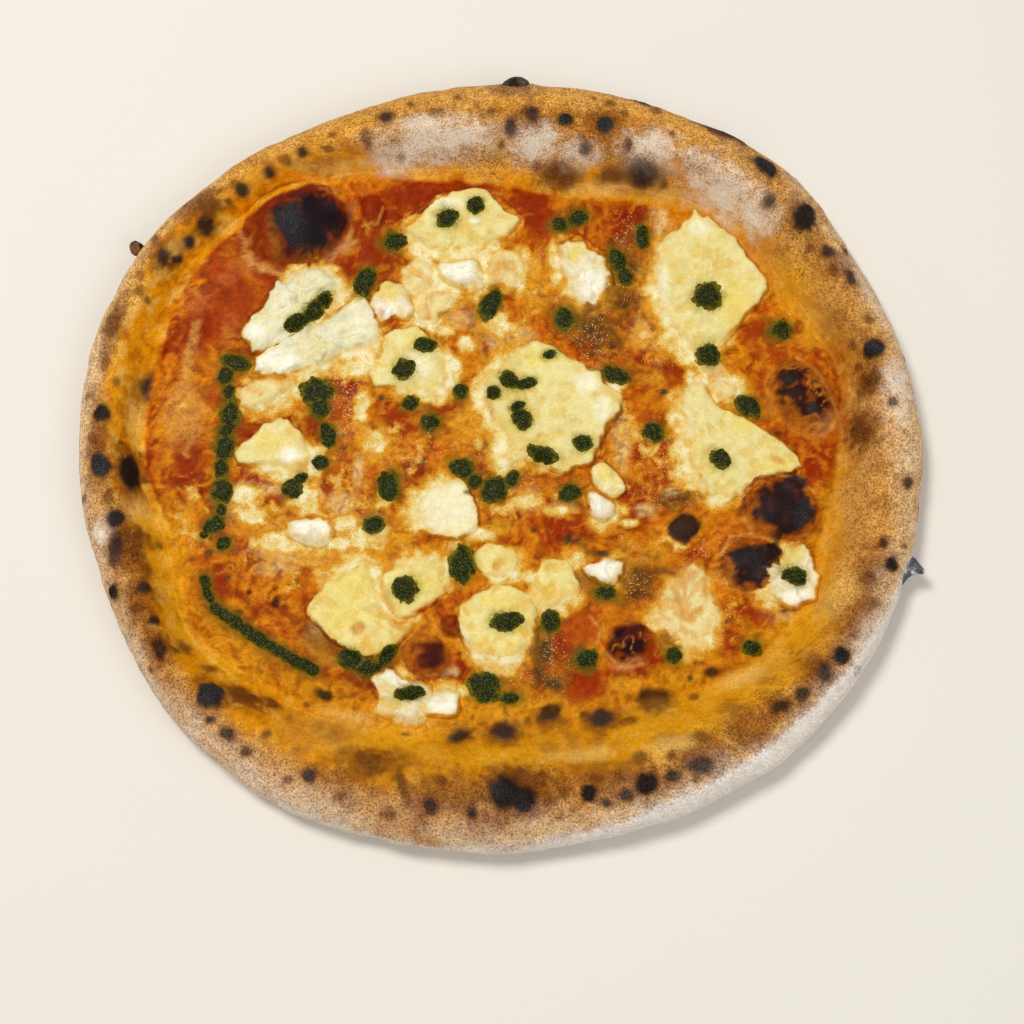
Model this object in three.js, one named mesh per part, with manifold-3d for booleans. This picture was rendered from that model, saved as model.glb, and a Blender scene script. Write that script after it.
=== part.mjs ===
// A four cheese pizza with a puffed, blistered crust. Millimetres, +Z up, +Y away from the eater.
// The base of dough and its rim are one solid. The melted tomato and cheese lie on it as a thin
// skin with drops of pesto, and each piece of cheese is a solid of its own.
import * as THREE from "three";
import { ParametricGeometry } from "three/addons/geometries/ParametricGeometry.js";
import { mergeVertices } from "three/addons/utils/BufferGeometryUtils.js";
import Module from "manifold-3d";

const wasm = await Module();
wasm.setup();

// Outline of the dough, and the place where the topping meets the rim: one radius every 15
// degrees, anticlockwise from +X. The height of the rim's crest: one value every 30 degrees.
const outlineRadii = [
  158.9, 157.8, 156.5, 157.6, 153.3, 150.5, 148.9, 148.3, 150.7, 156.2, 161.1, 161.5,
  159.4, 156.9, 156.8, 155.9, 154.0, 149.9, 148.1, 148.1, 150.9, 155.0, 156.8, 158.0,
];
const toppingRadii = [
  126.5, 132.5, 124.5, 124.8, 116.8, 107.3, 109.0, 114.8, 127.0, 136.0, 140.0, 135.5,
  135.0, 126.0, 131.0, 121.5, 110.5, 104.0, 97.0, 100.0, 104.5, 117.5, 124.0, 123.0,
];
const crestHeights = [19.5, 20, 21.5, 21.5, 18, 16.5, 17.5, 19.5, 22, 23, 22.5, 20.5];

// Dough
const floorThickness = 3.6;
const crestShare = 0.56; // of the way from the topping to the outline
const widestHeight = 9.5;
const footInset = 15; // from the outline to the flat underside
const underSteps = 4;
const sectors = 72;
const floorShare = 0.86; // of the topping's radius, inside which all is level
const sauceReach = 0.09; // how far up the rim's width the topping runs
const rimShares = [sauceReach, 0.21, 0.33, 0.45, 0.56, 0.67, 0.78, 0.88, 0.96, 1];

// Melted tomato and cheese
const gap = 0.3;
const sauceThickness = 1.5;
const sauceLip = 0.4;
const cheeseClearance = 0.35;

// Bubbles in the dough: middle, two half widths, turn in degrees, height over the floor
const wideBubble = 9; // the half width above which a bubble gets more sides
const bubbleSides = { wide: 20, small: 12 };
const bubbles = [
  { at: [-80, 94], half: [20, 17.5], turn: 10, height: 12.5 },
  { at: [115, 24], half: [15.5, 12], turn: -58, height: 8.5 },
  { at: [106, -20], half: [14.5, 12.5], turn: -20, height: 9 },
  { at: [93.5, -41], half: [11.5, 10.5], turn: 30, height: 7.5 },
  { at: [48, -71], half: [9.5, 8.5], turn: 0, height: 6.5 },
  { at: [-28, -76], half: [9.5, 8.5], turn: -30, height: 7.5 },
  { at: [69, -26.5], half: [6.5, 5.8], turn: 0, height: 4.6 },
  { at: [-50, 99], half: [5, 7.5], turn: 15, height: 4.8 },
  { at: [-18.5, -64.5], half: [4.6, 4], turn: -50, height: 4.2 },
];

// Blisters on the rim: middle, two half widths, turn in degrees
const blisterHeight = 1.1;
const blisterRoot = 2.2;
const blisterSides = 8;
const blisterRings = 2;
const blisters = [
  { at: [1, -127], half: [6, 6.5], turn: 20 },
  { at: [9, -130], half: [5, 4.8], turn: 0 },
  { at: [31.7, -127.5], half: [3.4, 3.6], turn: 0 },
  { at: [53, -124], half: [4.6, 5.2], turn: -25 },
  { at: [73, -117], half: [5.5, 3.6], turn: -10 },
  { at: [126, -77.5], half: [3.6, 4], turn: -40 },
  { at: [102, -97], half: [4.2, 3], turn: 25 },
  { at: [145, -43], half: [3.2, 3.6], turn: 0 },
  { at: [141.5, 40], half: [4, 4.2], turn: 0 },
  { at: [116.5, 91], half: [5, 6.6], turn: 10 },
  { at: [101.5, 111.5], half: [5.4, 3.6], turn: -42 },
  { at: [54.8, 109.5], half: [6, 5], turn: 15 },
  { at: [39.8, 129], half: [3.8, 3.6], turn: 0 },
  { at: [24.5, 131], half: [3.6, 3.4], turn: 0 },
  { at: [3.5, 128.5], half: [3, 3.6], turn: 0 },
  { at: [-44.8, 132], half: [3.4, 3.2], turn: 0 },
  { at: [-114, 88.5], half: [4.2, 4.2], turn: 0 },
  { at: [-129.6, 76], half: [3.4, 4], turn: -15 },
  { at: [-151, 14.6], half: [3.5, 3.7], turn: 0 },
  { at: [-151, -5], half: [4, 5.6], turn: 5 },
  { at: [-139.5, -8], half: [4, 8], turn: 12 },
  { at: [-143.8, -26], half: [3.6, 3.9], turn: 0 },
  { at: [-107, -92.5], half: [5.2, 5.8], turn: 40 },
];

// Burnt scraps of dough that stick out of the outline
const scraps = [
  { at: [5.5, 147.5], half: [5.2, 3], turn: 0, height: 16.5, thickness: 3 },
  { at: [-140.6, 81.8], half: [3, 2.4], turn: -40, height: 10.5, thickness: 3 },
];
const flapOutline = [[146, -37], [153.5, -39.6], [157.8, -45.4], [152.5, -46.4], [147, -51]];
const flapHeight = 9.6;
const flapThickness = 3.4;
const flapEdge = 1.2; // how far its edges are rounded

// How a melted piece thins: [share of the way to its edge, share of its thickness], then its root
const cheeseProfile = [[0, 1], [0.6, 0.94], [0.88, 0.68], [1, 0.2], [1, -1], [0, -1]];

// Pieces of cheese: name, thickness, and the corners that the melted edge runs through
const cheeses = [
  { name: "slice_top", rise: 2.8, edge: [[-38, 91], [-31, 97], [-24, 103.5], [-9, 105.5], [-2, 101],
    [6.5, 95], [1, 88], [-16, 81.5], [-29, 82]] },
  { name: "curd_top_white", rise: 2.6, edge: [[-25, 75], [-13, 78.5], [-8.5, 74], [-9, 68], [-18, 70]] },
  { name: "curd_top_right", rise: 1.8, edge: [[-6, 76], [0, 81], [7, 79], [5, 70], [-3, 70]] },
  { name: "curd_top_left", rise: 2, edge: [[-39, 72], [-34, 77.5], [-28, 76], [-26, 69], [-34, 65.5]] },
  { name: "curd_net", rise: 1.4, edge: [[-33, 60], [-27, 64.5], [-21, 63], [-25, 56], [-30, 54.5]] },
  { name: "chunk_upper", rise: 3.8, edge: [[-49, 65], [-44, 69.5], [-36, 64], [-34.5, 58], [-42, 54.5],
    [-47, 54]] },
  { name: "slab_upper", rise: 3.6, edge: [[-98, 50], [-91.5, 58.5], [-84, 69.5], [-74, 73.5], [-61, 66.5],
    [-68, 57.5], [-79, 50], [-92, 43]] },
  { name: "slab_lower", rise: 3, edge: [[-88, 43], [-78, 48], [-66, 55.5], [-56, 63.5],
    [-50, 56], [-49.5, 43], [-62, 40.5], [-78, 33.5], [-95, 32.5]] },
  { name: "slab_foot", rise: 1.8, edge: [[-100, 28], [-91, 29.8], [-80, 29.5], [-85, 23], [-97, 20.5]] },
  { name: "slice_left", rise: 2.4, edge: [[-49.5, 34], [-45, 41], [-43, 48], [-31, 50], [-23, 41],
    [-20, 31], [-28, 25.5], [-46, 28.5]] },
  { name: "chunk_tall", rise: 3, edge: [[23.5, 84], [30, 86.5], [40, 78], [41, 68], [34, 60.5],
    [28, 64], [24.5, 75]] },
  { name: "slice_right", rise: 3.2, edge: [[72, 95], [77, 97.5], [91, 83], [102, 69], [96, 59],
    [84, 45], [74, 39.5], [66, 50], [59, 64], [60, 81]] },
  { name: "slice_right_tail", rise: 1.3, edge: [[76, 36.5], [84, 37], [88, 28], [83, 24.5], [79, 31]] },
  { name: "slice_east", rise: 2.8, edge: [[68.5, 22], [77, 29], [83, 19], [97, 11.5], [112, -1],
    [108, -5], [96, -8], [84, -16.5], [71, -7], [69.5, 9]] },
  { name: "slice_middle", rise: 3.4, edge: [[-6.5, 20], [-4, 33], [7, 43.5], [20, 42], [34, 33.5],
    [44, 22], [37.5, 9], [34, -1], [21, -4], [11, 1.5], [1, -2], [-1, 9]] },
  { name: "disc_centre", rise: 2.4, edge: [[-33, -22], [-26, -12], [-17, -9.5], [-11.5, -17],
    [-10, -26], [-20, -30.5]] },
  { name: "chunk_yellow", rise: 4, edge: [[34.5, -6], [39, -3], [46.5, -11.5], [42, -16], [36, -12]] },
  { name: "chunk_white", rise: 3, edge: [[32, -15], [36.5, -14], [42, -19], [37, -23]] },
  { name: "slice_triangle", rise: 3.2, edge: [[-100, 0], [-90, 11], [-83.5, 16], [-77, 8.5],
    [-71, 0.5], [-76, -6], [-88, -3.5]] },
  { name: "curd_left", rise: 2.4, edge: [[-80, -25], [-72, -23], [-64.5, -25], [-69, -32.5], [-77, -30]] },
  { name: "disc_large", rise: 2.8, edge: [[-71, -59], [-63, -48], [-52, -40.5], [-46.5, -48],
    [-42.5, -60], [-34, -63.5], [-43, -73], [-53, -74], [-64, -67]] },
  { name: "disc_fold", rise: 2.2, edge: [[-45, -49], [-37, -42], [-23, -40.5], [-22, -50], [-31, -58],
    [-38.5, -60]] },
  { name: "disc_lower", rise: 2.8, edge: [[-15.5, -60], [-6, -52], [4, -50.5], [11, -58], [10, -71],
    [1, -77], [-10, -74]] },
  { name: "disc_small", rise: 1.5, edge: [[-9, -38], [-3, -34], [4, -38], [1, -45.5], [-6, -44]] },
  { name: "disc_pale", rise: 1.8, edge: [[11.5, -52], [16, -41], [24, -42], [27.5, -51], [21, -56],
    [14, -57.5]] },
  { name: "curd_small", rise: 2.6, edge: [[31.5, -42], [38, -40], [45, -41], [41, -47.5], [34, -46.5]] },
  { name: "slice_melted", rise: 1.3, edge: [[56, -61], [64, -49], [72, -41], [80, -52], [78, -64],
    [72, -72], [63, -68]] },
  { name: "curd_edge", rise: 4, edge: [[101, -44], [107, -35.5], [114, -34], [118, -45], [113, -57],
    [104, -57], [99, -51]] },
  { name: "curd_bubble", rise: 3, edge: [[-48, -85], [-42, -81], [-35, -84.5], [-27, -88.5],
    [-30, -99], [-35, -101.5], [-42, -95]] },
  { name: "curd_bottom", rise: 3.2, edge: [[-27.5, -95], [-23, -90.5], [-16.5, -91], [-18, -97.5],
    [-26, -97.5]] },
];

// Drops of pesto: middle, two half widths, turn in degrees
const dropHeight = 1;
const dropRoot = 0.8;
const dropSides = 7;
const dropRings = 2;
const dropSink = 0.5; // of its base under the top of the piece of cheese that carries it
const dropsOnCheese = [
  [-21, 95, 4.6, 3.8, 20], [-10, 100, 3.3, 3.6, 0], [-77, 54, 5, 2.8, 28], [-70, 59.5, 5, 2.6, 35],
  [-29, 44, 4.6, 2.9, 5], [-37, 34, 4, 3.8, 0], [79, 63, 5.4, 5.4, 0], [82.5, -1, 4.2, 3, -30],
  [4, 29, 4.2, 3.6, -35], [10, 29.5, 3.6, 2.2, 10], [-2.5, 25, 2.7, 3, 0], [7.8, 15, 4, 4.4, 30],
  [15.5, 1, 4.4, 2.8, -25], [31, 5, 3.3, 3.4, 0], [18.5, 40, 2.6, 1.8, 20], [-35.5, -51, 4.6, 4.8, 0],
  [2, -63, 5.6, 3.4, 5], [109.5, -46, 4.6, 3.2, -20], [-34, -90, 5.4, 2.6, 5],
];
const dropsOnSauce = [
  [-41.5, 86.5, 4.4, 3.6, -10], [-53, 69.5, 3.8, 6, -20], [-103, 37.5, 4.6, 2.6, -20],
  [-105, 33, 3, 4.4, 0], [-102.5, 16.5, 3.8, 5.8, 5], [-105, 5, 3.2, 6, -10], [-106, -3.5, 2.4, 3.4, 0],
  [-105.5, -13, 3.8, 5, 0], [-108.5, -26, 4.6, 3.2, 40], [-105, -34, 3, 2.2, 30],
  [-110.5, -48.5, 2, 3.6, 20], [-70, 25, 5.6, 5.4, 0], [-67, 20, 3, 4.2, 0], [-66, 8, 3, 4.6, 10],
  [-79, -12, 3.2, 3.6, 0], [-69.5, -6, 2.6, 2, -30], [-42.5, -11, 4.4, 5.2, 0],
  [-48, -25, 3.8, 3.4, 0], [-34.5, 21.5, 3.2, 2.6, 0], [-15.5, 26, 2.8, 3, 0], [-27, 14, 3.2, 3.6, 0],
  [-4.5, 60.5, 3.4, 6, -28], [22.5, 93, 3.2, 2.8, 0], [29.5, 95.5, 4, 2.9, 20],
  [44.5, 78.5, 2.6, 3.6, 20], [46, 72.5, 2, 2.8, -10], [54.5, 88, 2.4, 4.6, 0],
  [24, 55, 4.2, 4, 0], [43.5, 32.5, 5.6, 3.2, -20], [107, 50.5, 4.4, 4, 0], [95.5, 18, 4.6, 3.6, -20],
  [58, 10, 3.8, 3.6, 0], [-16, -5.5, 4.4, 2.6, -15], [-5, -12.5, 4.2, 5, -40],
  [25, -13.5, 3.2, 3, 20], [-15, -41, 5, 7, 0], [39, -52, 3.6, 2.8, 0],
  [53, -48.5, 4.4, 4, 0], [18.5, -62.5, 2.8, 3.4, 0], [31, -76.5, 4.4, 3.6, 0],
  [-5.5, -86.5, 5.6, 4.8, -10], [4.5, -92, 3.2, 1.8, 10], [64.5, -75.5, 3, 2.8, 0],
  [93.5, -72.5, 3, 2.8, 0], [-56, -77.5, 3.4, 2.6, 0], [-48, -78.5, 3.4, 3.2, 40],
];
// A long drizzle of pesto along the lower left edge of the topping
const drizzle = [[-107, -57.5], [-99, -63.5], [-90, -69.5], [-80, -75.5], [-71, -80.5]];
const drizzleHalfWidth = 2.4;
const drizzleStep = 6.5;
const drizzleOverlap = 0.62; // half a drop's length, as a share of the step

const crustMaterial = new THREE.MeshStandardMaterial({ color: 0xc6985c, roughness: 0.85, metalness: 0 });
const sauceMaterial = new THREE.MeshStandardMaterial({ color: 0xc4671c, roughness: 0.35, metalness: 0 });
const cheeseMaterial = new THREE.MeshStandardMaterial({ color: 0xeadda2, roughness: 0.4, metalness: 0 });

const UP = new THREE.Vector3(0, 0, 1);
const turns = (degrees) => THREE.MathUtils.degToRad(degrees);

// A smooth closed run through values spaced evenly round the pizza
function around(values, angle) {
  const count = values.length;
  const place = ((angle / (2 * Math.PI)) * count + count) % count;
  const first = Math.floor(place);
  const t = place - first;
  const [a, b, c, d] = [-1, 0, 1, 2].map((step) => values[(first + step + count) % count]);
  return b + 0.5 * t * (c - a + t * (2 * a - 5 * b + 4 * c - d + t * (3 * (b - c) + d - a)));
}

// Long soft waves in the rim, none where it meets the topping or the outline
function swell(angle, share) {
  const waves = 0.9 * Math.sin(7 * angle + 0.6) + 0.7 * Math.sin(12 * angle + 2.1)
    + 0.5 * Math.sin(19 * angle + 5 * share);
  return waves * Math.sin(Math.PI * THREE.MathUtils.clamp(share, 0, 1)) ** 2;
}

// Height of the dough over the table, at a share of the way across the rim
function rimHeight(angle, share) {
  const crest = around(crestHeights, angle);
  if (share <= 0) return floorThickness;
  if (share < crestShare) {
    const rise = Math.sin((Math.PI / 2) * (share / crestShare)) ** 2;
    return floorThickness + (crest - floorThickness) * rise + swell(angle, share);
  }
  const fall = Math.sqrt(1 - ((share - crestShare) / (1 - crestShare)) ** 2);
  return widestHeight + (crest - widestHeight) * fall + swell(angle, share);
}

function doughHeight(x, y) {
  const angle = Math.atan2(y, x);
  const inner = around(toppingRadii, angle);
  return rimHeight(angle, (Math.hypot(x, y) - inner) / (around(outlineRadii, angle) - inner));
}

// A closed solid from one section at each angle: [radius, height] from the axis, over the top,
// round the edge and back to the axis underneath
function roundSolid(sectionAt) {
  const rows = sectionAt(0).length - 1;
  const geometry = new ParametricGeometry((u, v, point) => {
    const angle = 2 * Math.PI * (1 - u);
    const [radius, height] = sectionAt(angle)[Math.round(v * rows)];
    point.set(radius * Math.cos(angle), radius * Math.sin(angle), height);
  }, sectors, rows);
  return toSolid(geometry);
}

function toSolid(geometry) {
  const bare = new THREE.BufferGeometry();
  bare.setAttribute("position", geometry.getAttribute("position"));
  bare.setIndex(geometry.getIndex());
  const merged = mergeVertices(bare, 1e-4);
  const corners = merged.getIndex().array;
  const kept = [];
  for (let k = 0; k < corners.length; k += 3) {
    const [a, b, c] = corners.slice(k, k + 3);
    if (a !== b && b !== c && c !== a) kept.push(a, b, c);
  }
  const vertProperties = new Float32Array(merged.getAttribute("position").array);
  const mesh = new wasm.Mesh({ numProp: 3, vertProperties, triVerts: new Uint32Array(kept) });
  return new wasm.Manifold(mesh);
}

function toMesh(name, solid, material) {
  const { vertProperties, triVerts, numProp } = solid.getMesh();
  const geometry = new THREE.BufferGeometry();
  geometry.setAttribute("position", new THREE.BufferAttribute(new Float32Array(vertProperties), numProp));
  geometry.setIndex(new THREE.BufferAttribute(new Uint32Array(triVerts), 1));
  geometry.computeVertexNormals();
  const mesh = new THREE.Mesh(geometry, material);
  mesh.name = name;
  return mesh;
}

// Which way the dough's surface faces
function doughNormal([x, y], reach) {
  const slopeX = (doughHeight(x + reach, y) - doughHeight(x - reach, y)) / (2 * reach);
  const slopeY = (doughHeight(x, y + reach) - doughHeight(x, y - reach)) / (2 * reach);
  return new THREE.Vector3(-slopeX, -slopeY, 1).normalize();
}

// A low dome with a root that sinks into what carries it
function dome([x, y], base, half, turn, height, root, sides, rings, facing = UP) {
  const profile = [new THREE.Vector2(0, -root), new THREE.Vector2(1, -root)];
  for (let ring = 0; ring <= rings; ring += 1) {
    const rise = (Math.PI / 2) * (ring / rings);
    profile.push(new THREE.Vector2(ring === rings ? 0 : Math.cos(rise), height * Math.sin(rise)));
  }
  const geometry = new THREE.LatheGeometry(profile, sides);
  geometry.rotateX(Math.PI / 2);
  geometry.scale(half[0], half[1], 1);
  geometry.rotateZ(turns(turn));
  geometry.applyQuaternion(new THREE.Quaternion().setFromUnitVectors(UP, facing));
  geometry.translate(x, y, base);
  return toSolid(geometry);
}

function bubbleDome(bubble, extra) {
  const half = bubble.half.map((size) => size + extra);
  const root = floorThickness / 2;
  const sides = bubble.half[0] > wideBubble ? bubbleSides.wide : bubbleSides.small;
  const height = bubble.height + extra;
  return dome(bubble.at, floorThickness, half, bubble.turn, height, root, sides, sides / 4);
}

function crustSection(angle) {
  const inner = around(toppingRadii, angle);
  const outer = around(outlineRadii, angle);
  const section = [[0, floorThickness], [inner * floorShare, floorThickness], [inner, floorThickness]];
  for (const share of rimShares) {
    section.push([inner + share * (outer - inner), rimHeight(angle, share)]);
  }
  for (let step = 1; step <= underSteps; step += 1) {
    const down = (Math.PI / 2) * (step / underSteps);
    section.push([outer - footInset * (1 - Math.cos(down)), widestHeight * (1 - Math.sin(down))]);
  }
  section.push([0, 0]);
  return section;
}

// The skin of sauce: parallel to the dough, level inside, thinning to a lip up the rim
function sauceSection(angle) {
  const inner = around(toppingRadii, angle);
  const edge = inner + sauceReach * (around(outlineRadii, angle) - inner);
  const bottom = floorThickness + gap;
  const edgeHeight = rimHeight(angle, sauceReach) + gap;
  return [
    [0, bottom + sauceThickness], [inner * floorShare, bottom + sauceThickness],
    [inner, bottom + sauceThickness], [edge, edgeHeight + sauceLip],
    [edge, edgeHeight], [inner, bottom], [inner * floorShare, bottom], [0, bottom],
  ];
}

// What the cheese may not enter: dough and sauce, raised by a small clearance
function groundSection(angle) {
  const top = floorThickness + gap + sauceThickness + cheeseClearance;
  const inner = around(toppingRadii, angle);
  const outer = around(outlineRadii, angle);
  const edge = inner + sauceReach * (outer - inner);
  const edgeTop = rimHeight(angle, sauceReach) + gap + sauceLip + cheeseClearance;
  const section = [[0, top], [inner * floorShare, top], [inner, top], [edge, edgeTop]];
  for (const share of rimShares) {
    const height = Math.max(rimHeight(angle, share) + gap + cheeseClearance, edgeTop);
    section.push([inner + share * (outer - inner), height]);
  }
  section.push([outer, 0], [0, 0]);
  return section;
}

function scrapSolid({ at, half, turn, height, thickness }) {
  return dome(at, height, half, turn, thickness / 2, thickness / 2, blisterSides, blisterRings);
}

function flapSolid() {
  const shape = new THREE.Shape(flapOutline.map(([x, y]) => new THREE.Vector2(x, y)));
  const geometry = new THREE.ExtrudeGeometry(shape, {
    depth: flapThickness - 2 * flapEdge,
    bevelThickness: flapEdge,
    bevelSize: flapEdge,
    bevelOffset: -flapEdge,
    bevelSegments: 2,
  });
  geometry.translate(0, 0, flapHeight + flapEdge);
  return toSolid(geometry);
}

function crustSolid() {
  let solid = roundSolid(crustSection);
  for (const bubble of bubbles) solid = solid.add(bubbleDome(bubble, 0));
  for (const { at, half, turn } of blisters) {
    const facing = doughNormal(at, half[0]);
    solid = solid.add(dome(
      at, doughHeight(...at), half, turn, blisterHeight, blisterRoot, blisterSides, blisterRings, facing,
    ));
  }
  for (const scrap of scraps) solid = solid.add(scrapSolid(scrap));
  return solid.add(flapSolid());
}

function dropSolid([x, y, halfLength, halfWidth, turn], base) {
  const half = [halfLength, halfWidth];
  return dome([x, y], base, half, turn, dropHeight, dropRoot, dropSides, dropRings);
}

function drizzleDrops() {
  const path = new THREE.CatmullRomCurve3(drizzle.map(([x, y]) => new THREE.Vector3(x, y, 0)));
  const count = Math.round(path.getLength() / drizzleStep);
  return path.getSpacedPoints(count).map((point, k) => {
    const along = path.getTangentAt(k / count);
    const turn = THREE.MathUtils.radToDeg(Math.atan2(along.y, along.x));
    return [point.x, point.y, drizzleStep * drizzleOverlap, drizzleHalfWidth, turn];
  });
}

function sauceSolid() {
  let solid = roundSolid(sauceSection);
  for (const bubble of bubbles) solid = solid.subtract(bubbleDome(bubble, gap));
  const top = floorThickness + gap + sauceThickness;
  for (const drop of [...dropsOnSauce, ...drizzleDrops()]) solid = solid.add(dropSolid(drop, top));
  return solid;
}

function groundSolid() {
  let solid = roundSolid(groundSection);
  for (const bubble of bubbles) solid = solid.add(bubbleDome(bubble, gap + cheeseClearance));
  return solid;
}

// A melted piece: level on the ground, thin at its edge and swelling to its middle
function cheeseBlank({ edge, rise }) {
  const loop = new THREE.CatmullRomCurve3(edge.map(([x, y]) => new THREE.Vector3(x, y, 0)), true);
  const steps = edge.length * 2;
  const points = loop.getPoints(steps);
  const middle = points.slice(0, -1).reduce((sum, p) => sum.add(p), new THREE.Vector3());
  middle.divideScalar(steps);
  const rows = cheeseProfile.length - 1;
  const geometry = new ParametricGeometry((u, v, point) => {
    const [spread, height] = cheeseProfile[Math.round(v * rows)];
    point.lerpVectors(middle, points[Math.round(u * steps)], spread);
    const ground = doughHeight(point.x, point.y) + gap + sauceThickness + cheeseClearance;
    point.z = height < 0 ? floorThickness : ground + height * rise;
  }, steps, rows);
  return toSolid(geometry);
}

function largestPiece(solid) {
  return solid.decompose().reduce((best, part) => (part.volume() > best.volume() ? part : best));
}

function cheeseSolid(piece, ground) {
  let solid = largestPiece(cheeseBlank(piece).subtract(ground));
  const top = floorThickness + gap + sauceThickness + cheeseClearance + piece.rise;
  const box = solid.boundingBox();
  for (const drop of dropsOnCheese) {
    const [x, y] = drop;
    const over = x > box.min[0] && x < box.max[0] && y > box.min[1] && y < box.max[1];
    if (over && solid.intersect(dropSolid(drop, top - dropSink)).volume() > 1) {
      solid = solid.add(dropSolid(drop, top - dropSink));
    }
  }
  return solid;
}

const pizza = new THREE.Group();
const ground = groundSolid();
pizza.add(toMesh("crust", crustSolid(), crustMaterial));
pizza.add(toMesh("sauce", sauceSolid(), sauceMaterial));
for (const piece of cheeses) pizza.add(toMesh(piece.name, cheeseSolid(piece, ground), cheeseMaterial));

// The origin is under the middle of the crust's box
const box = new THREE.Box3().setFromObject(pizza);
pizza.position.set(-(box.min.x + box.max.x) / 2, -(box.min.y + box.max.y) / 2, 0);

export default pizza;
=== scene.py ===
import functools
import itertools
import math

import bpy
import numpy as np
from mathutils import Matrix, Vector
from mathutils.bvhtree import BVHTree
from mathutils.kdtree import KDTree


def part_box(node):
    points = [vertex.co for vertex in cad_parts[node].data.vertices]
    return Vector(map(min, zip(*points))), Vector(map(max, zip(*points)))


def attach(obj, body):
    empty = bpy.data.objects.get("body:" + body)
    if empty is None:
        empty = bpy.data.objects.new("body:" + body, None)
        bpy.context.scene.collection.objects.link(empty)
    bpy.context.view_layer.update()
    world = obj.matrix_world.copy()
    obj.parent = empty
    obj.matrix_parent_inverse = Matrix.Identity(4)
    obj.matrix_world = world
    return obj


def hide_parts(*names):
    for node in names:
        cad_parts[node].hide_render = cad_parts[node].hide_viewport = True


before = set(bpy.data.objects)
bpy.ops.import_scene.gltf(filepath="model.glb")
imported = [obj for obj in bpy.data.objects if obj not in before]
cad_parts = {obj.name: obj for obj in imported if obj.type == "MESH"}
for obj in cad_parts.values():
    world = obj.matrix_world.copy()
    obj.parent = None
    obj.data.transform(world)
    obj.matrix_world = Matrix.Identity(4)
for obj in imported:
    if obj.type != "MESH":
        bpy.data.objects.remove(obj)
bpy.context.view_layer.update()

# The eye. The pizza is seen from its front edge and from well above. The places of spots and toppings
# below were read off level planes in this view. Sizes are in millimetres, from the middle of the dough.
aim = np.array([4.0, -21.5, 8.0])
eye_distance = 802.0
eye_elevation = math.radians(78)
view_half_angle = math.radians(13.5)
eye = aim + eye_distance * np.array([0, -math.cos(eye_elevation), math.sin(eye_elevation)])

# The crust. Wheat dough, pressed flat in the middle and left thick at the rim, which a fierce oven puffs
# up, tans and blisters. Oil from the topping soaks its inner slope, and flour still dusts its outside.
outline_radii = [
    158.9, 157.8, 156.5, 157.6, 153.3, 150.5, 148.9, 148.3, 150.7, 156.2, 161.1, 161.5,
    159.4, 156.9, 156.8, 155.9, 154.0, 149.9, 148.1, 148.1, 150.9, 155.0, 156.8, 158.0,
]
topping_radii = [
    126.5, 132.5, 124.5, 124.8, 116.8, 107.3, 109.0, 114.8, 127.0, 136.0, 140.0, 135.5,
    135.0, 126.0, 131.0, 121.5, 110.5, 104.0, 97.0, 100.0, 104.5, 117.5, 124.0, 123.0,
]
crest_heights = [19.5, 20, 21.5, 21.5, 18, 16.5, 17.5, 19.5, 22, 23, 22.5, 20.5]
floor_thickness = 3.6
crest_share = 0.56  # share of the way up and over the rim at which it is highest
widest_height = 9.5  # level at which it is widest
foot_inset = 15.0  # how far in from its outline its flat underside starts
sauce_reach = 0.09  # share of the rim's width that the sauce runs up
rim_waves = [(0.9, 7, 0.6, 0), (0.7, 12, 2.1, 0), (0.5, 19, 0, 5)]  # height, number, shift, twist


def around(values, angle):
    """Values spaced evenly round the pizza, joined smoothly."""
    values = np.asarray(values, float)
    count = len(values)
    place = (angle / (2 * np.pi) * count) % count
    first = np.floor(place).astype(int)
    t = place - first
    before, here, after, beyond = (values[(first + step) % count] for step in (-1, 0, 1, 2))
    bend = 3 * (here - after) + beyond - before
    lean = 2 * before - 5 * here + 4 * after - beyond
    return here + 0.5 * t * (after - before + t * (lean + t * bend))


def full_turn(count):
    """Angles spaced evenly round a circle."""
    return np.linspace(0, 2 * np.pi, count + 1)[:-1]


def smooth(low, high, value):
    """A share that goes softly from 0 to 1 while a value goes from low to high."""
    t = np.clip((value - low) / (high - low), 0, 1)
    return t * t * (3 - 2 * t)


def rim_height(angle, share):
    """Height of the dough, at a share of the way from the topping's edge to the outline."""
    waves = 0
    for high, count, shift, twist in rim_waves:
        waves = waves + high * np.sin(count * angle + shift + twist * share)
    swell = waves * np.sin(np.pi * np.clip(share, 0, 1)) ** 2
    crest = around(crest_heights, angle)
    rise = np.sin(np.pi / 2 * np.clip(share / crest_share, 0, 1)) ** 2
    fall = np.sqrt(1 - np.clip((share - crest_share) / (1 - crest_share), 0, 1) ** 2)
    inner = floor_thickness + (crest - floor_thickness) * rise
    outer = widest_height + (crest - widest_height) * fall
    return np.where(share < crest_share, inner, outer) + swell


def rim_share(x, y):
    """Share of the way from the topping's edge to the outline at each place."""
    angle = np.arctan2(y, x)
    inner = around(topping_radii, angle)
    return (np.hypot(x, y) - inner) / (around(outline_radii, angle) - inner)


def dough_level(x, y):
    """Height of the dough at each place."""
    return rim_height(np.arctan2(y, x), rim_share(x, y))


sight_rounds = 5  # of going closer to where the line of sight meets the surface


@functools.lru_cache(None)
def meet(x, y, level, surface):
    """Where the line of sight through a place on a level plane meets a surface."""
    sight = np.array([x, y, level]) - eye
    height = level
    for _ in range(sight_rounds):
        point = eye + sight * (height - eye[2]) / sight[2]
        height = float(surface(point[0], point[1]))
    return np.array([point[0], point[1], height])


lattice_size = 32
lattice_shift = 100
octave_shift = 7.3
lattice = np.random.default_rng(11).random((lattice_size,) * 3)
slant = np.array([[0.36, 0.48, -0.8], [-0.8, 0.6, 0], [0.48, 0.64, 0.6]])  # so that no row of it shows


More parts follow.
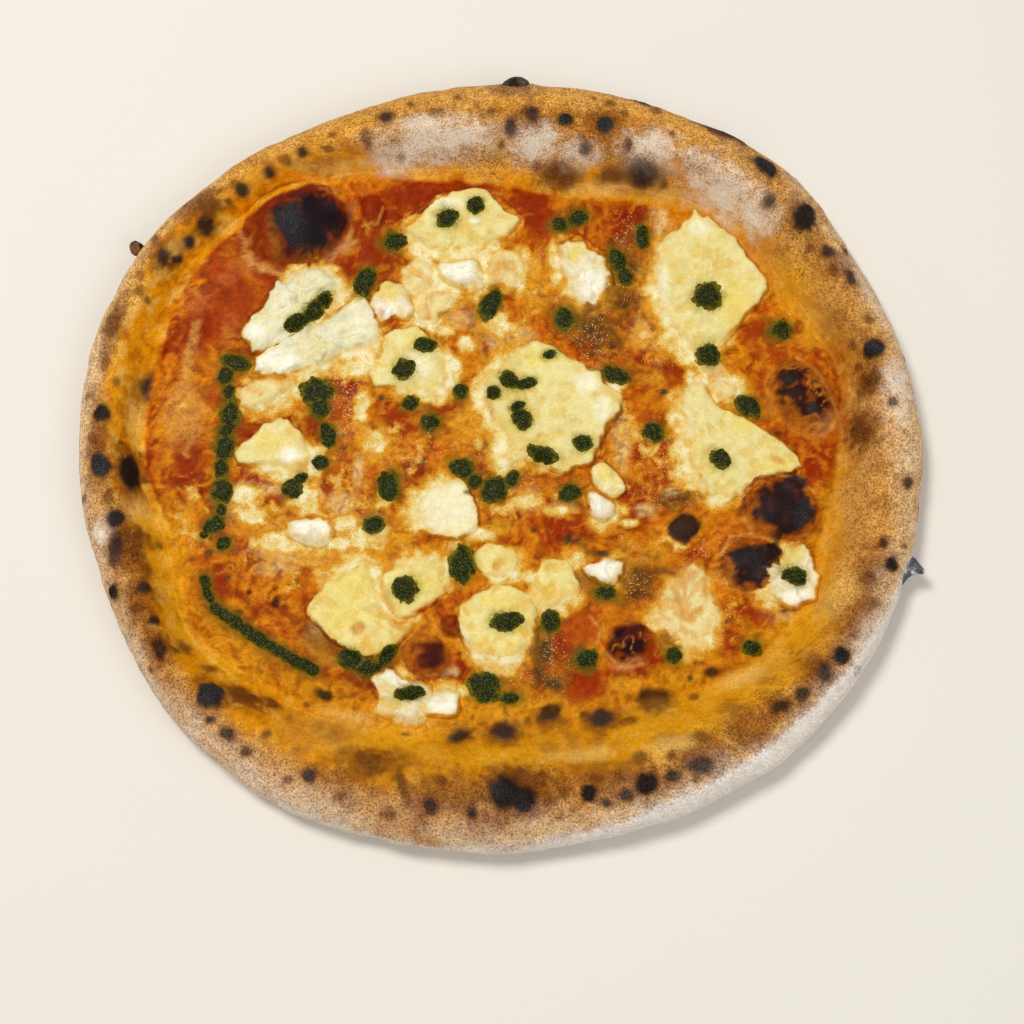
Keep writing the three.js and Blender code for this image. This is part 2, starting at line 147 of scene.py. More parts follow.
def noise(points, size, octaves=2):
    """Soft random values from -1 to 1, that change over a size in millimetres."""
    total = np.zeros(len(points))
    for octave in range(octaves):
        points = points @ slant
        place = points * (2**octave / size) + octave_shift * octave + lattice_shift
        cell = np.floor(place).astype(int)
        t = place - cell
        t = t * t * (3 - 2 * t)
        value = np.zeros(len(points))
        for corner in itertools.product((0, 1), repeat=3):
            i, j, k = ((cell + corner) % lattice_size).T
            value += np.prod(np.where(corner, t, 1 - t), axis=1) * lattice[i, j, k]
        total += (2 * value - 1) / 2**octave
    return total


def in_oval(off_x, off_y, half_x, half_y, turn=0):
    """An offset from an oval's middle, along and across it, in shares of its half width and half height."""
    turn = math.radians(turn)
    along = (off_x * math.cos(turn) + off_y * math.sin(turn)) / half_x
    across = (off_y * math.cos(turn) - off_x * math.sin(turn)) / half_y
    return along, across


def cover(points, spots, ground, wobble, soft=0.3, depth=2.0):
    """How far oval spots, [x, y, half width, half height, turn], cover each point, from 0 to 1."""
    covered = np.zeros(len(points))
    for x, y, half_x, half_y, *turn in spots:
        offset = points - meet(x, y, *ground)
        reach = (1.3 + soft) * max(half_x, half_y)
        near = np.flatnonzero(np.abs(offset[:, :2]).max(axis=1) < reach)
        offset = offset[near]
        along, across = in_oval(offset[:, 0], offset[:, 1], half_x, half_y, *turn)
        down = offset[:, 2] / (depth * max(half_x, half_y))
        away = np.sqrt(along**2 + across**2 + down**2) + wobble[near]
        covered[near] = np.maximum(covered[near], smooth(1 + soft, 1 - soft, away))
    return covered


line_flatness = 0.4  # so that a line also covers what lies above and below it


def trace(points, lines, ground, wobble, soft=0.6):
    """How far drawn lines, [half width, corner, corner ...], cover each point, from 0 to 1."""
    covered = np.zeros(len(points))
    for half_width, *corners in lines:
        corners = [meet(x, y, *ground) for x, y in corners]
        for start, end in itertools.pairwise(corners):
            step = end - start
            middle = (start + end) / 2
            reach = np.linalg.norm(step) / 2 + 3 * half_width
            near = np.flatnonzero(np.abs((points - middle)[:, :2]).max(axis=1) < reach)
            offset = points[near] - start
            t = np.clip(offset @ step / (step @ step), 0, 1)
            offset = (offset - t[:, None] * step) * [1, 1, line_flatness]
            away = np.linalg.norm(offset, axis=1) / half_width + wobble[near]
            covered[near] = np.maximum(covered[near], smooth(1 + soft, 1 - soft, away))
    return covered


def rgb(code):
    """A colour as the red, green and blue that light adds up in."""
    parts = np.array([int(code[k:k + 2], 16) / 255 for k in (1, 3, 5)])
    return np.where(parts < 0.04045, parts / 12.92, ((parts + 0.055) / 1.055) ** 2.4)


def lay(tint, colour, amount):
    """Paints a colour over the tint, as far as amount says."""
    amount = np.clip(amount, 0, 1)[:, None]
    colour = rgb(colour) if isinstance(colour, str) else colour
    return tint * (1 - amount) + colour * amount


def lay_spots(tint, points, layers, ground, wobble, depth=2.0):
    """Paints layers of spots, (colour, strength, softness, raggedness, spots), one over the other."""
    for colour, strength, soft, ragged, spots in layers:
        amount = cover(points, spots, ground, ragged * wobble, soft, depth)
        tint = lay(tint, colour, strength * amount)
    return tint


# What spots on the crust lie on: the level plane that they were read off, and the surface
on_rim = (16, dough_level)
# Spots that the oven has burnt: raggedness, softness, and each as [x, y, half width, half height, turn]
oven_spots = {
    "black": (0.5, 0.25, [
        [24.5, 132, 3, 2.7], [39.8, 130, 3.4, 3.1], [101.3, 112.5, 5.5, 3, -42], [116, 92.2, 4.7, 6],
        [141, 40, 3.5, 3.5], [125, -77, 3.2, 3.4, -40], [1, -127, 5.5, 6], [8.5, -129.5, 4.5, 4.5],
        [31.7, -127, 3, 3.2], [53, -124, 4, 4.5], [-106.7, -92, 4.6, 5.2, 30], [-150.2, 14.7, 3, 3],
        [-150.3, -5, 3.4, 5], [-143.3, -26, 3, 3.3], [-143, -53.2, 2.5, 2.6], [144.3, -43, 2.6, 3],
        [5, 149, 5.5, 2.4], [-139.5, -8.3, 3.2, 7, 12], [158.5, -13, 1, 6], [156.5, -28, 1, 3],
    ]),
    "dark": (0.6, 0.45, [
        [-129.2, 76.6, 2.7, 3.2], [-124.3, 75.8, 2.5, 1.2, 30], [-119.3, 82.8, 2, 2.3],
        [-113.4, 89, 3.5, 3.5], [-100.2, 103.7, 2.5, 2.3], [-89.5, 110.8, 2, 1.7], [-77, 119.2, 1.8, 1.8],
        [-44.7, 133, 2.7, 2.5], [3.3, 129.5, 2.2, 3], [11.7, 134.4, 2.5, 3.5], [32.3, 120.5, 2.3, 2.5],
        [49, 122, 1.8, 2], [54.8, 110.5, 5.5, 4], [103, 99, 2.5, 2.7], [124.5, 78.3, 2.5, 2.3],
        [133, 68.3, 1.8, 3.5, 25], [131.5, 79, 1.2, 1.2], [147.5, 53.7, 1, 1.5], [147.3, 19.3, 1.7, 1.7],
        [151.7, -12, 2.4, 2.4], [141.8, -35, 1.7, 2], [118.3, -83.5, 2.3, 3.5], [110.2, -91, 3, 2.6],
        [102, -96, 3.5, 2.2, 20], [73, -117, 5, 3], [18, -98, 5.5, 3.5, 18], [36.5, -100, 4, 4],
        [0.8, -105, 4.3, 3.8], [38.3, -131, 1.6, 1.8], [45.3, -128, 2.6, 2.3], [62, -121, 2.8, 2.5],
        [-15, -107, 4, 2.8, 15], [-25.5, -132, 2.5, 3.2], [-10.5, -134.3, 1.8, 1.8], [-69.5, -121, 2.3, 2.3],
        [-92.7, -112, 1.8, 1.8], [-99.6, -105.7, 3, 2.2, -30], [-106, -100.5, 2, 1.8],
        [-64.3, -91.6, 2.3, 2.6], [-128.2, -12, 2.3, 2.5], [-132.3, -52, 2.5, 2.3], [-127.5, -64, 2, 2],
        [-125.5, -74.5, 2.2, 4, 30], [-131.2, 24, 4.5, 5], [54, 139.5, 4, 1.4, -20], [88, 125, 6, 2, -30],
        [-143, -37, 2.5, 6],
    ]),
    "brown": (1.0, 0.6, [
        [-147.7, 50.4, 3, 6.5, -15], [-150, 35, 2, 4.5], [-145.4, 26.8, 1.5, 2], [-155.3, 21.5, 2, 2],
        [-138, 63, 2.2, 2.2], [-134.3, 59, 1.5, 1.5], [-132.6, 83.5, 2, 2], [-112.8, 95, 3, 3],
        [-109.6, 98, 3, 2], [-105, 98.7, 2, 1.5], [-83.2, 115.6, 2.5, 1.7], [-67, 120.2, 2, 1],
        [-65, 125.8, 2, 1.5], [-52.3, 125.4, 2.2, 3.5], [-35.3, 138, 1.6, 1.6], [-25.3, 134.8, 3, 2],
        [-17, 141.3, 1.5, 1.5], [-39, 117, 1.7, 1.7], [-4, 136, 1.5, 1.5], [0, 122.3, 1.5, 1.5],
        [47.5, 135, 1.5, 1.5], [41.8, 138.5, 2, 2], [60, 136, 2.5, 2.5], [66, 126.5, 1.5, 1.5],
        [13.7, 113.7, 2, 1.7], [22.8, 110.5, 6, 5], [25.2, 106.5, 4, 2], [42, 109, 5, 2],
        [62.8, 106.5, 1.5, 1.5], [35.8, 141, 1.5, 1.5], [82.5, 128, 4, 3, -30], [118, 80, 1.5, 1.5],
        [126.7, 71.5, 2, 2.5], [139.5, 52, 2.5, 2], [133.3, 42, 1.7, 2], [135.3, 33, 1.5, 1.5],
        [152.3, 36, 1, 1], [134, 7.5, 3, 4], [139, 28, 4, 3], [149.6, -36, 1.5, 1.5], [136, -48, 3, 2.5],
        [137, -57.8, 2.5, 2], [129.7, -69.5, 2, 1.5], [130.6, -82.5, 1.2, 3, -30], [77.5, -82.5, 4.5, 2.5],
        [56, -93.5, 6.5, 4.5], [70.5, -92.5, 2, 1.5], [47, -101, 3, 2], [5, -121.5, 5.5, 2.2],
        [22.7, -127, 2.3, 2.6], [42.7, -121.5, 2.5, 2.5], [50.5, -115, 3, 2.5], [62, -114, 2, 2],
        [70.5, -121.5, 1.7, 1.7], [14, -122, 4, 2], [34.5, -122, 2.5, 1.5], [17, -130.5, 2, 1],
        [26, -133, 1.5, 1.5], [21.5, -136.5, 1.3, 1.3], [-47.5, -116, 4.5, 4], [-40.3, -134.7, 2.7, 2.3],
        [-35.7, -124, 2, 5, 20], [-21.6, -122.5, 2.7, 1.7], [-58.3, -128.5, 2.5, 1.8],
        [-77, -122.8, 2.5, 1.8], [-85.2, -106.4, 2, 2], [-92, -93, 7, 2, -12], [-84, -95, 3, 2, -30],
        [-71, -95, 1.3, 1.3], [-90, -78, 3, 3], [-35, -106, 2, 0.8], [-153, 5, 2, 3], [-133, -11.5, 2, 1.5],
        [-142.8, 3.3, 1, 1], [-155, -18, 1.3, 2], [-146.6, -18, 2, 3], [-135.5, -34, 5, 5],
        [-127, -36, 1.5, 1.5], [-131.5, -46, 2, 4], [-133.7, -59.8, 3, 2], [-116, -74, 3, 3],
        [-106.7, -82, 3, 2], [73.5, -107, 3.5, 2.5], [-96, -90, 3, 2], [-88, -84, 2, 1.5],
        [-119, -75, 2, 1.5], [-129, -82, 1.5, 1.5],
    ]),
    "faint": (1.3, 0.7, [
        [-125.6, 86, 2.5, 2.5], [-105, 113, 4, 2], [-95, 115, 4, 2], [-20, 118.5, 8, 1.5], [-10, 138, 2, 2],
        [151.8, 7, 3, 2], [107, 78.5, 2.5, 2.5], [86.5, 104.7, 2, 1], [75, 112, 3, 2], [131.5, -65, 3, 2],
        [141.3, -19.5, 3, 3], [143.7, -6.5, 2.5, 2], [119.5, -68.5, 3, 2], [87, -104, 4, 3],
        [26, -108, 3, 4], [34, -108, 3, 2], [17, -111, 4, 2.5], [83, -112, 5, 2.5], [89, -107.5, 4, 3],
        [-87, -115, 2.5, 2.5], [-66.5, -103.8, 2.5, 2.5], [-77, -101.5, 2, 2], [-144.3, -47.5, 2.5, 2.5],
        [-128, -81, 3, 3], [145, 62, 4, 5], [140, -72, 4, 5], [95, -108, 6, 4], [-60, -106, 3, 5],
        [-15, -140, 4, 2], [-151, -30, 3, 6], [146, -60, 3, 5], [128, 52, 4, 6], [112, 99, 5, 4],
        [-118, -35, 3, 3], [-56, -112, 4, 2], [-30, -117, 4, 2], [-73, -112, 3, 2], [-46, -126, 3, 2],
        [98, -86, 4, 2],
    ]),
}
halo_size = 1.6  # of the browned halo round a dark spot, in sizes of the spot
# Wide patches on the crust: colour, strength, softness, raggedness and spots
rim_clouds = [
    ("#D89A36", 0.85, 0.7, 0.9, [
        [-25, 141, 26, 6, 8], [20, 142, 28, 7], [52, 136, 20, 8, -14], [70, 128, 14, 7, -25],
        [-62, 128, 18, 7, 22], [-95, 114, 16, 5, 38], [104, 108, 10, 7, -40], [-58, -104, 20, 8, 10],
        [122, 58, 6, 16, 25], [100, -82, 12, 6, 35],
    ]),
    # Pale tan on the outer band: the dough's paler tone, lightened on the outer left partly as painted light
    ("#DCB886", 0.75, 0.6, 0.9, [
        [-158, 20, 4, 26], [-150, 62, 5, 22, -25], [-132, 94, 5, 20, -40], [-105, 120, 16, 4, 35],
        [-75, 136, 16, 4, 22], [-154, 38, 4, 12], [-156, -25, 4, 22, 10], [148, 50, 5, 20, 20],
        [150, -5, 6, 20], [143, 14, 6, 16],
    ]),
    ("#E2A018", 0.85, 0.6, 1.0, [
        [-40, -108, 16, 7, 8], [90, -88, 22, 9, 28], [60, -104, 24, 9, 12], [10, -114, 26, 5],
        [114, -62, 9, 16, -40], [-121, -55, 5, 16, 25], [-127, -30, 6, 12, 12], [-105, -78, 12, 3, -38],
        [122, 40, 4, 14, 25], [112, 66, 5, 12, 30], [-139, 16, 6, 12], [-117, -68, 5, 8, 25],
    ]),
    ("#A8641A", 0.7, 0.7, 1.0, [[46, 129, 16, 6, -8]]),
    ("#C88E44", 0.7, 0.7, 1.0, [
        [105, 88, 12, 18, 40], [130, 60, 10, 20, 25], [138, 15, 10, 24], [136, -25, 10, 22, -12],
        [-120, -98, 16, 8, -38], [-85, -118, 20, 7, -25], [-151, 6, 4, 16],
    ]),
    ("#864C12", 0.76, 0.5, 1.3, [
        [-151, 5, 4, 8], [-129, 76, 7, 7], [-116, 98, 12, 5, 40], [-147, 46, 4, 11, -14],
        [-139, -9, 6, 11, 8], [-141, -36, 8, 13, 12], [-134, -56, 7, 9, 25], [-127, -74, 6, 7, 25],
        [-96, -93, 14, 5, -20], [-50, -118, 16, 7, 10], [-20, -127, 20, 8, 3], [5, -127, 18, 9],
        [40, -123, 20, 7, -6], [72, -113, 13, 6, -18], [92, -102, 12, 5, -36], [116, -83, 11, 6, -50],
        [130, -64, 7, 9, 40], [137, -46, 6, 8], [136, 8, 6, 9], [140, 27, 6, 6], [128, 74, 9, 7, -50],
        [22, 108, 10, 6], [46, 109, 10, 4], [5, 145, 10, 4], [46, 143, 14, 3, -12], [86, 126, 9, 3, -28],
        [116, 107, 9, 4, -42], [12, 131, 8, 6], [40, 131, 7, 5], [55, 111, 8, 6], [0, -105, 8, 6],
        [18, -99, 9, 6, 15], [37, -100, 7, 6],
    ]),
    ("#5E2E0E", 0.6, 0.7, 1.3, [
        [72, -117, 8, 4, -10], [88, -107, 9, 4, -30], [103, -95, 8, 3, -32], [118, -82, 6, 4, -50],
        [134, 8, 4, 6], [139, 26, 4, 4], [-142, -34, 4, 9], [-135, -37, 4, 5], [3, -127, 11, 8],
        [-138, -8, 4, 7], [-117, 98, 6, 3, 40], [54, 110, 7, 5], [22, 108, 5, 4], [5, 147, 7, 3],
        [56, -93, 8, 6], [-47, -116, 5, 5], [-93, -93, 8, 3, -12], [82, 128, 7, 2.5, -28],
    ]),
    ("#9A4408", 0.75, 0.6, 1.0, [
        [127, 34, 4, 10, 25], [128, 14, 3, 9], [-122, 0, 3, 8], [-119, 64, 4, 8, -30],
    ]),
    ("#E8BC66", 0.6, 0.7, 1.2, [
        [-68, 113, 13, 2, 3], [40, 104, 12, 3], [62, 103, 6, 3, -20], [-140, 55, 2, 8, -25],
        [90, -85, 9, 3, 20], [62, -110, 10, 3, 12], [-55, -98, 9, 3, -10], [124, -55, 5, 9, -30],
        [-136, -22, 5, 5], [-124, 80, 8, 2, 42], [30, -113, 12, 2.5, 8], [-138, 14, 3, 7],
    ]),
]
# Where flour lies in patches, and the thin burnt lines along the rim, each with its half width and corners
flour_patches = [
    [-25, 124, 23, 6, 3], [12, 123, 10, 6], [57, 120, 11, 6, -12], [85, 105, 18, 8, -38],
    [98, 95, 8, 7, -40], [-40, 118, 9, 6, 20], [150, 24, 6, 14], [147, 62, 4, 12, 25], [-28, 130, 16, 4, 5],
    [-148, -30, 4, 6], [60, 124, 8, 5], [30, 118, 8, 4],
]
burnt_lines = [
    [1.3, [80, 130.5], [92, 125], [101, 119], [110, 112.5]], [1.6, [110, 112.5], [118, 106.5], [125, 98.5]],
    [0.9, [125, 98.5], [130, 92.5]], [0.6, [35, 147.5], [48, 145], [58, 141.5], [80, 132.5]],
    [0.6, [-157, 44], [-155, 53], [-151.5, 60]], [0.7, [-146, 72], [-142.5, 79], [-139, 84]],
    [0.7, [-135, 86], [-131, 91], [-127, 97]], [0.5, [-160, 14], [-159.4, 24]],
    [1.5, [155.5, 27], [157.5, 20], [158.5, 12]], [0.7, [158.5, 12], [159.5, 2], [159.5, -20], [158, -31]],
]
# Round the rim, every 15 degrees: where the oil ends, how speckled it is, where the flour is thick, how far
# the outer half is dusted, how white and bluish the flour is, partly as painted cool light on the lower
# right, and how pale the dough
oil_ends = [
    0.16, 0.2, 0.28, 0.25, 0.3, 0.25, 0.12, 0.12, 0.45, 0.62, 0.62, 0.55,
    0.5, 0.42, 0.45, 0.5, 0.55, 0.52, 0.5, 0.52, 0.48, 0.42, 0.38, 0.28,
]
speckling = [
    0.3, 0.3, 0.2, 0.15, 0.15, 0.5, 0.7, 0.7, 0.9, 1, 1, 1,
    0.9, 0.6, 0.5, 0.5, 0.35, 0.15, 0.15, 0.2, 0.15, 0.15, 0.2, 0.25,
]
flour_starts = [
    1.02, 1.02, 0.98, 0.98, 1.1, 1.1, 1.1, 1.1, 1.04, 1.0, 1.0, 1.0,
    1.0, 1.0, 1.0, 0.99, 0.97, 0.97, 0.96, 0.93, 0.87, 0.82, 0.86, 0.98,
]
dusting = [
    0.35, 0.45, 0.45, 0.25, 0.1, 0.12, 0.12, 0.1, 0.1, 0.12, 0.15, 0.2,
    0.3, 0.35, 0.45, 0.55, 0.5, 0.35, 0.42, 0.5, 0.58, 0.7, 0.62, 0.42,
]
flour_white_and_painted_light = [
    0.5, 0.6, 0.4, 0.3, 0, 0, 0, 0, 0, 0.2, 0.2, 0.2, 0.2, 0.2, 0.2, 0.2, 0.3, 0.4, 0.6, 1, 1, 1, 1, 0.8,
]
paleness = [
    0.9, 0.9, 0.9, 0.75, 0.5, 0.55, 0.6, 0.65, 0.7, 0.9, 0.95, 0.9,
    0.8, 0.7, 0.6, 0.6, 0.5, 0.5, 0.55, 0.6, 0.65, 0.75, 0.75, 0.85,
]

# Its mesh: rings of points, from under the topping up and over the rim and back to the middle underneath
sectors = 960
rows_inside = [0.3, 0.6, 0.85, 0.95]
rows_up = 36
rows_down = 28
rows_under = 14
rows_below = [0.75, 0.5, 0.25, 0.08]


def dough_lumps(points, share):
    """How far the baked dough swells out of its even shape, none of it where the topping lies."""
    lumps = 0.7 * noise(points, 20) + 0.35 * noise(points, 7) + 0.1 * noise(points, 2.2)
    return lumps * smooth(0.05, 0.3, share)


def dough_paint(points, share, below):
    """What is painted on the dough, by name, and how far its spots have swollen."""
    turn_round = np.arctan2(points[:, 1], points[:, 0])
    cloud = noise(points, 16, 3)
    patchy = noise(points, 5, 3)
    fleck = noise(points, 1.8)
    wobble = 0.3 * noise(points, 2.2) + 0.12 * noise(points, 6)
    # Baked dough, from pale to tan, with toasted and blotched places
    tint = np.tile(rgb("#B27022"), (len(points), 1))
    tint = lay(tint, "#DFAE5C", around(paleness, turn_round) + 0.3 * cloud + 0.3 * patchy)
    toasted = smooth(0.1, 0.8, 0.5 * cloud + 0.7 * patchy + 0.35 * np.sin(np.pi * np.clip(share, 0, 1)))
    tint = lay(tint, "#8C480A", 0.65 * toasted * (1 - below))
    blotched = smooth(0.15, 0.6, noise(points, 7, 2)) * smooth(0.2, 0.4, share) * smooth(1.05, 0.8, share)
    tint = lay(tint, "#80420E", 0.55 * blotched * (1 - below))
    # Oil that has soaked its inner slope, golden and freckled
    oil_end = around(oil_ends, turn_round) + 0.09 * cloud + 0.08 * patchy
    oily = smooth(oil_end + 0.16, oil_end - 0.1, share) * (1 - below)
    speckled = around(speckling, turn_round)
    tint = lay(tint, "#D28C08", 0.96 * oily)
    tint = lay(tint, "#EE9A0A", 0.9 * oily * speckled)
    tint = lay_spots(tint, points, rim_clouds, on_rim, wobble)
    blots = smooth(0.15, 0.7, patchy + 0.5 * fleck + 0.3 * (0.3 - share))
    tint = lay(tint, "#A04206", oily * blots * (0.1 + 0.38 * speckled))
    bare = smooth(0.2, 0.6, -patchy + 0.5 * fleck)
    tint = lay(tint, "#EDBC54", 0.7 * oily * bare * (0.15 + 0.85 * speckled))
    # Burnt spots, the flour on and round them, and the underside
    spot = {}
    for key, (ragged, soft, spots) in oven_spots.items():
        spot[key] = cover(points, spots, on_rim, ragged * wobble, soft)
    dark = oven_spots["black"][2] + oven_spots["dark"][2]
    wide = [[x, y, halo_size * half_x, halo_size * half_y, *turn] for x, y, half_x, half_y, *turn in dark]
    halo = cover(points, wide, on_rim, wobble, 0.6)
    flour = smooth(-0.05, 0.05, share - around(flour_starts, turn_round) + 0.02 * cloud + 0.015 * patchy)
    dust = smooth(0.56, 0.98, share + 0.08 * cloud) * around(dusting, turn_round)
    patches = cover(points, flour_patches, on_rim, 1.2 * wobble, 0.75)
    floury = np.maximum.reduce([flour, dust + 0.3 * patchy * dust, (0.72 + 0.25 * patchy) * patches])
    floury = floury * (1 - below) + 0.35 * below
    tint = lay(tint, "#D9BC92", 0.8 * below)
    leopard = smooth(0.35, 0.6, noise(points, 9, 3) * below)
    tint = lay(tint, "#8B5426", 0.7 * leopard)
    tint = lay(tint, "#3B2113", smooth(0.62, 0.8, noise(points, 7, 3) * below))
    tint = lay(tint, "#985E20", 0.5 * spot["faint"])
    tint = lay(tint, "#7A4412", 0.55 * halo)
    tint = lay(tint, "#6A3C14", 0.8 * spot["brown"])
    tint = lay(tint, "#33221A", 0.93 * spot["dark"])
    burnt = trace(points, burnt_lines, on_rim, wobble)
    tint = lay(tint, "#1B1917", 0.97 * np.maximum(spot["black"], burnt))
    char = np.maximum.reduce([spot["black"], 0.6 * spot["dark"], burnt])
    clean = (1 - np.maximum(char, 0.6 * spot["brown"])) * (1 - 0.5 * halo)
    floury = np.clip(floury, 0, 1) * clean
    tint = lay(tint, "#E0D0B8", 0.85 * floury)
    # Bluish white on the outer shoulder, strongest on the lower right: white flour, partly painted cool light
    tint = lay(tint, "#E8E9EE", 0.9 * flour * clean * around(flour_white_and_painted_light, turn_round))
    swelling = 1.0 * spot["black"] + 0.55 * spot["dark"] + 0.25 * spot["brown"]
    painted = {"tint": tint, "oily": oily, "floury": floury, "char": char, "gloss_and_painted_glints": np.zeros(len(points))}
    return painted, swelling


def grid_faces(rows, columns):
    """Squares of a grid that joins up on itself, row by row, with the first and last rows closed."""
    row, column = np.meshgrid(np.arange(rows - 1), np.arange(columns), indexing="ij")
    after = (column + 1) % columns
    quads = np.stack([row * columns + column, row * columns + after,
                      (row + 1) * columns + after, (row + 1) * columns + column], axis=-1).reshape(-1, 4)
    ring = list(range(columns))
    last = [(rows - 1) * columns + k for k in reversed(range(columns))]
    return quads.tolist() + [ring[::-1], last[::-1]]


def normals_of(grid):
    """Outward directions of a grid of points that joins up on itself."""
    along = np.roll(grid, -1, axis=1) - np.roll(grid, 1, axis=1)
    across = np.gradient(grid, axis=0)
    normal = np.cross(across, along)
    return normal / np.maximum(np.linalg.norm(normal, axis=2, keepdims=True), 1e-9)


metre = 1000  # in millimetres


def add_piece(name, points, faces, values, material):
    """A piece from its points in millimetres, its faces, and the values painted on its points."""
    mesh = bpy.data.meshes.new(name)
    mesh.from_pydata((np.asarray(points) + [*middle_shift, 0]) / metre, [], faces)
    for key, value in values.items():
        value = np.asarray(value, np.float32)
        if value.ndim == 2:
            layer = mesh.attributes.new(key, "FLOAT_COLOR", "POINT")
            layer.data.foreach_set("color", np.column_stack([value, np.ones(len(value))]).ravel())
        else:
            layer = mesh.attributes.new(key, "FLOAT", "POINT")
            layer.data.foreach_set("value", value)
    mesh.shade_smooth()
    mesh.materials.append(material)
    piece = bpy.data.objects.new(name, mesh)
    bpy.context.scene.collection.objects.link(piece)
    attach(piece, "root")
    return piece


# Sockets that go by number: of Mix its two colours and the mixed one, of Texture Coordinate the object's
# own place, and of Attribute its colour and its number
mix_below, mix_above, mix_out = 6, 7, 2
object_place = 3
colour_out, number_out = 0, 2


class Paint:
    """A value in a material's nodes. Sums with it add Math nodes."""

    def __init__(self, tree, socket=None):
        self.tree = tree
        self.socket = socket

    def node(self, kind, settings=None, sockets=None, out=0):
        """Adds a node of a kind with its settings, and its sockets' values or links."""
        made = self.tree.nodes.new("ShaderNode" + kind)
        for key, value in (settings or {}).items():
            setattr(made, key, value)
        for key, value in (sockets or {}).items():
            if isinstance(value, Paint):
                self.tree.links.new(value.socket, made.inputs[key])
            else:
                made.inputs[key].default_value = value
        return Paint(self.tree, made.outputs[out])

    def maths(self, operation, first, second):
        return self.node("Math", {"operation": operation}, {0: first, 1: second})

    def __add__(self, other):
        return self.maths("ADD", self, other)

    def __sub__(self, other):
        return self.maths("SUBTRACT", self, other)

    def __rsub__(self, other):
        return self.maths("SUBTRACT", other, self)

    def __mul__(self, other):
        return self.maths("MULTIPLY", self, other)

    __radd__ = __add__
    __rmul__ = __mul__

    def between(self, low, high):
        """Goes softly from 0 to 1 while this value goes from low to high."""
        return self.node("MapRange", {"interpolation_type": "SMOOTHSTEP"},
                         {"Value": self, "From Min": low, "From Max": high})

    def over(self, below, colour):
        """Lays a colour over the one below, as far as this value says."""
        sockets = {"Factor": self, mix_below: below, mix_above: colour}
        return self.node("Mix", {"data_type": "RGBA"}, sockets, mix_out)

    def shaded(self, amount):
        """This colour, brighter or darker by an amount."""
        return self.node("VectorMath", {"operation": "SCALE"}, {0: self, "Scale": amount})

    def filtered(self, colour):
        """This colour, seen through a colour."""
        return self.node("VectorMath", {"operation": "MULTIPLY"}, {0: self, 1: rgb(colour)})

    def grain(self, size, detail=2.0, offset=0.0):
        """Noise from 0 to 1 whose spots have a size in millimetres."""
        place = self.node("TexCoord", out=object_place)
        if offset:
            place = self.node("VectorMath", {"operation": "ADD"}, {0: place, 1: (offset, offset, offset)})
        return self.node("TexNoise", {}, {"Vector": place, "Scale": metre / size, "Detail": detail})

    def painted(self, key, colour=False):
        """What is painted on the mesh under a name."""
        return self.node("Attribute", {"attribute_name": key}, out=colour_out if colour else number_out)


def rgba(code):
    return (*rgb(code), 1)


def new_material(name):
    """A new material, the paint of its node tree, and its shader."""
    material = bpy.data.materials.new(name)
    material.use_nodes = True
    return material, Paint(material.node_tree), material.node_tree.nodes["Principled BSDF"]


def feed(paint, shader, **sockets):
    """Gives the shader's sockets their values or links, with _ in a name for a space."""
    for key, value in sockets.items():
        socket = shader.inputs[key.replace("_", " ")]
        if isinstance(value, Paint):
            paint.tree.links.new(value.socket, socket)
        else:
            socket.default_value = value


def dress(paint, shader, colour, roughness, gloss, relief, strength=0.5, depth=0.6):
    """Gives a shader its colour, roughness, gloss, and a relief of a depth in millimetres."""
    bump = paint.node("Bump", {}, {"Strength": strength, "Distance": depth / metre, "Height": relief})
    feed(paint, shader, Base_Color=colour, Roughness=roughness, Normal=bump, Specular_IOR_Level=gloss)


def with_froth_and_highlights(paint, colour, stipple):
    """Lays froth of melted cheese over a colour, in lumps as thick as it is painted, and says how high. The
    tops of its lumps are palest, partly as painted highlight.
    """
    lumps = paint.grain(4.2, 2.5, offset=0.21)
    amount = paint.painted("creamy") + 1.3 * lumps + 0.17 * stipple - 0.785
    colour = (amount.between(0.28, 0.6) * 0.85).over(colour, rgba("#DA9420"))
    colour = (amount.between(0.44, 0.86) * 0.9).over(colour, rgba("#E9CC74"))
    colour = (amount.between(0.78, 1.15) * 0.9).over(colour, rgba("#F4EBBC"))
    return colour, amount.between(0.35, 1)


def with_herbs(paint, colour, stipple):
    """Scatters green crumbs over a colour, as thick as they are painted round the pesto."""
    herbs = paint.painted("herbs")
    return ((stipple + 0.3 * herbs).between(0.66, 0.8) * herbs * 0.6).over(colour, rgba("#4A4A12"))


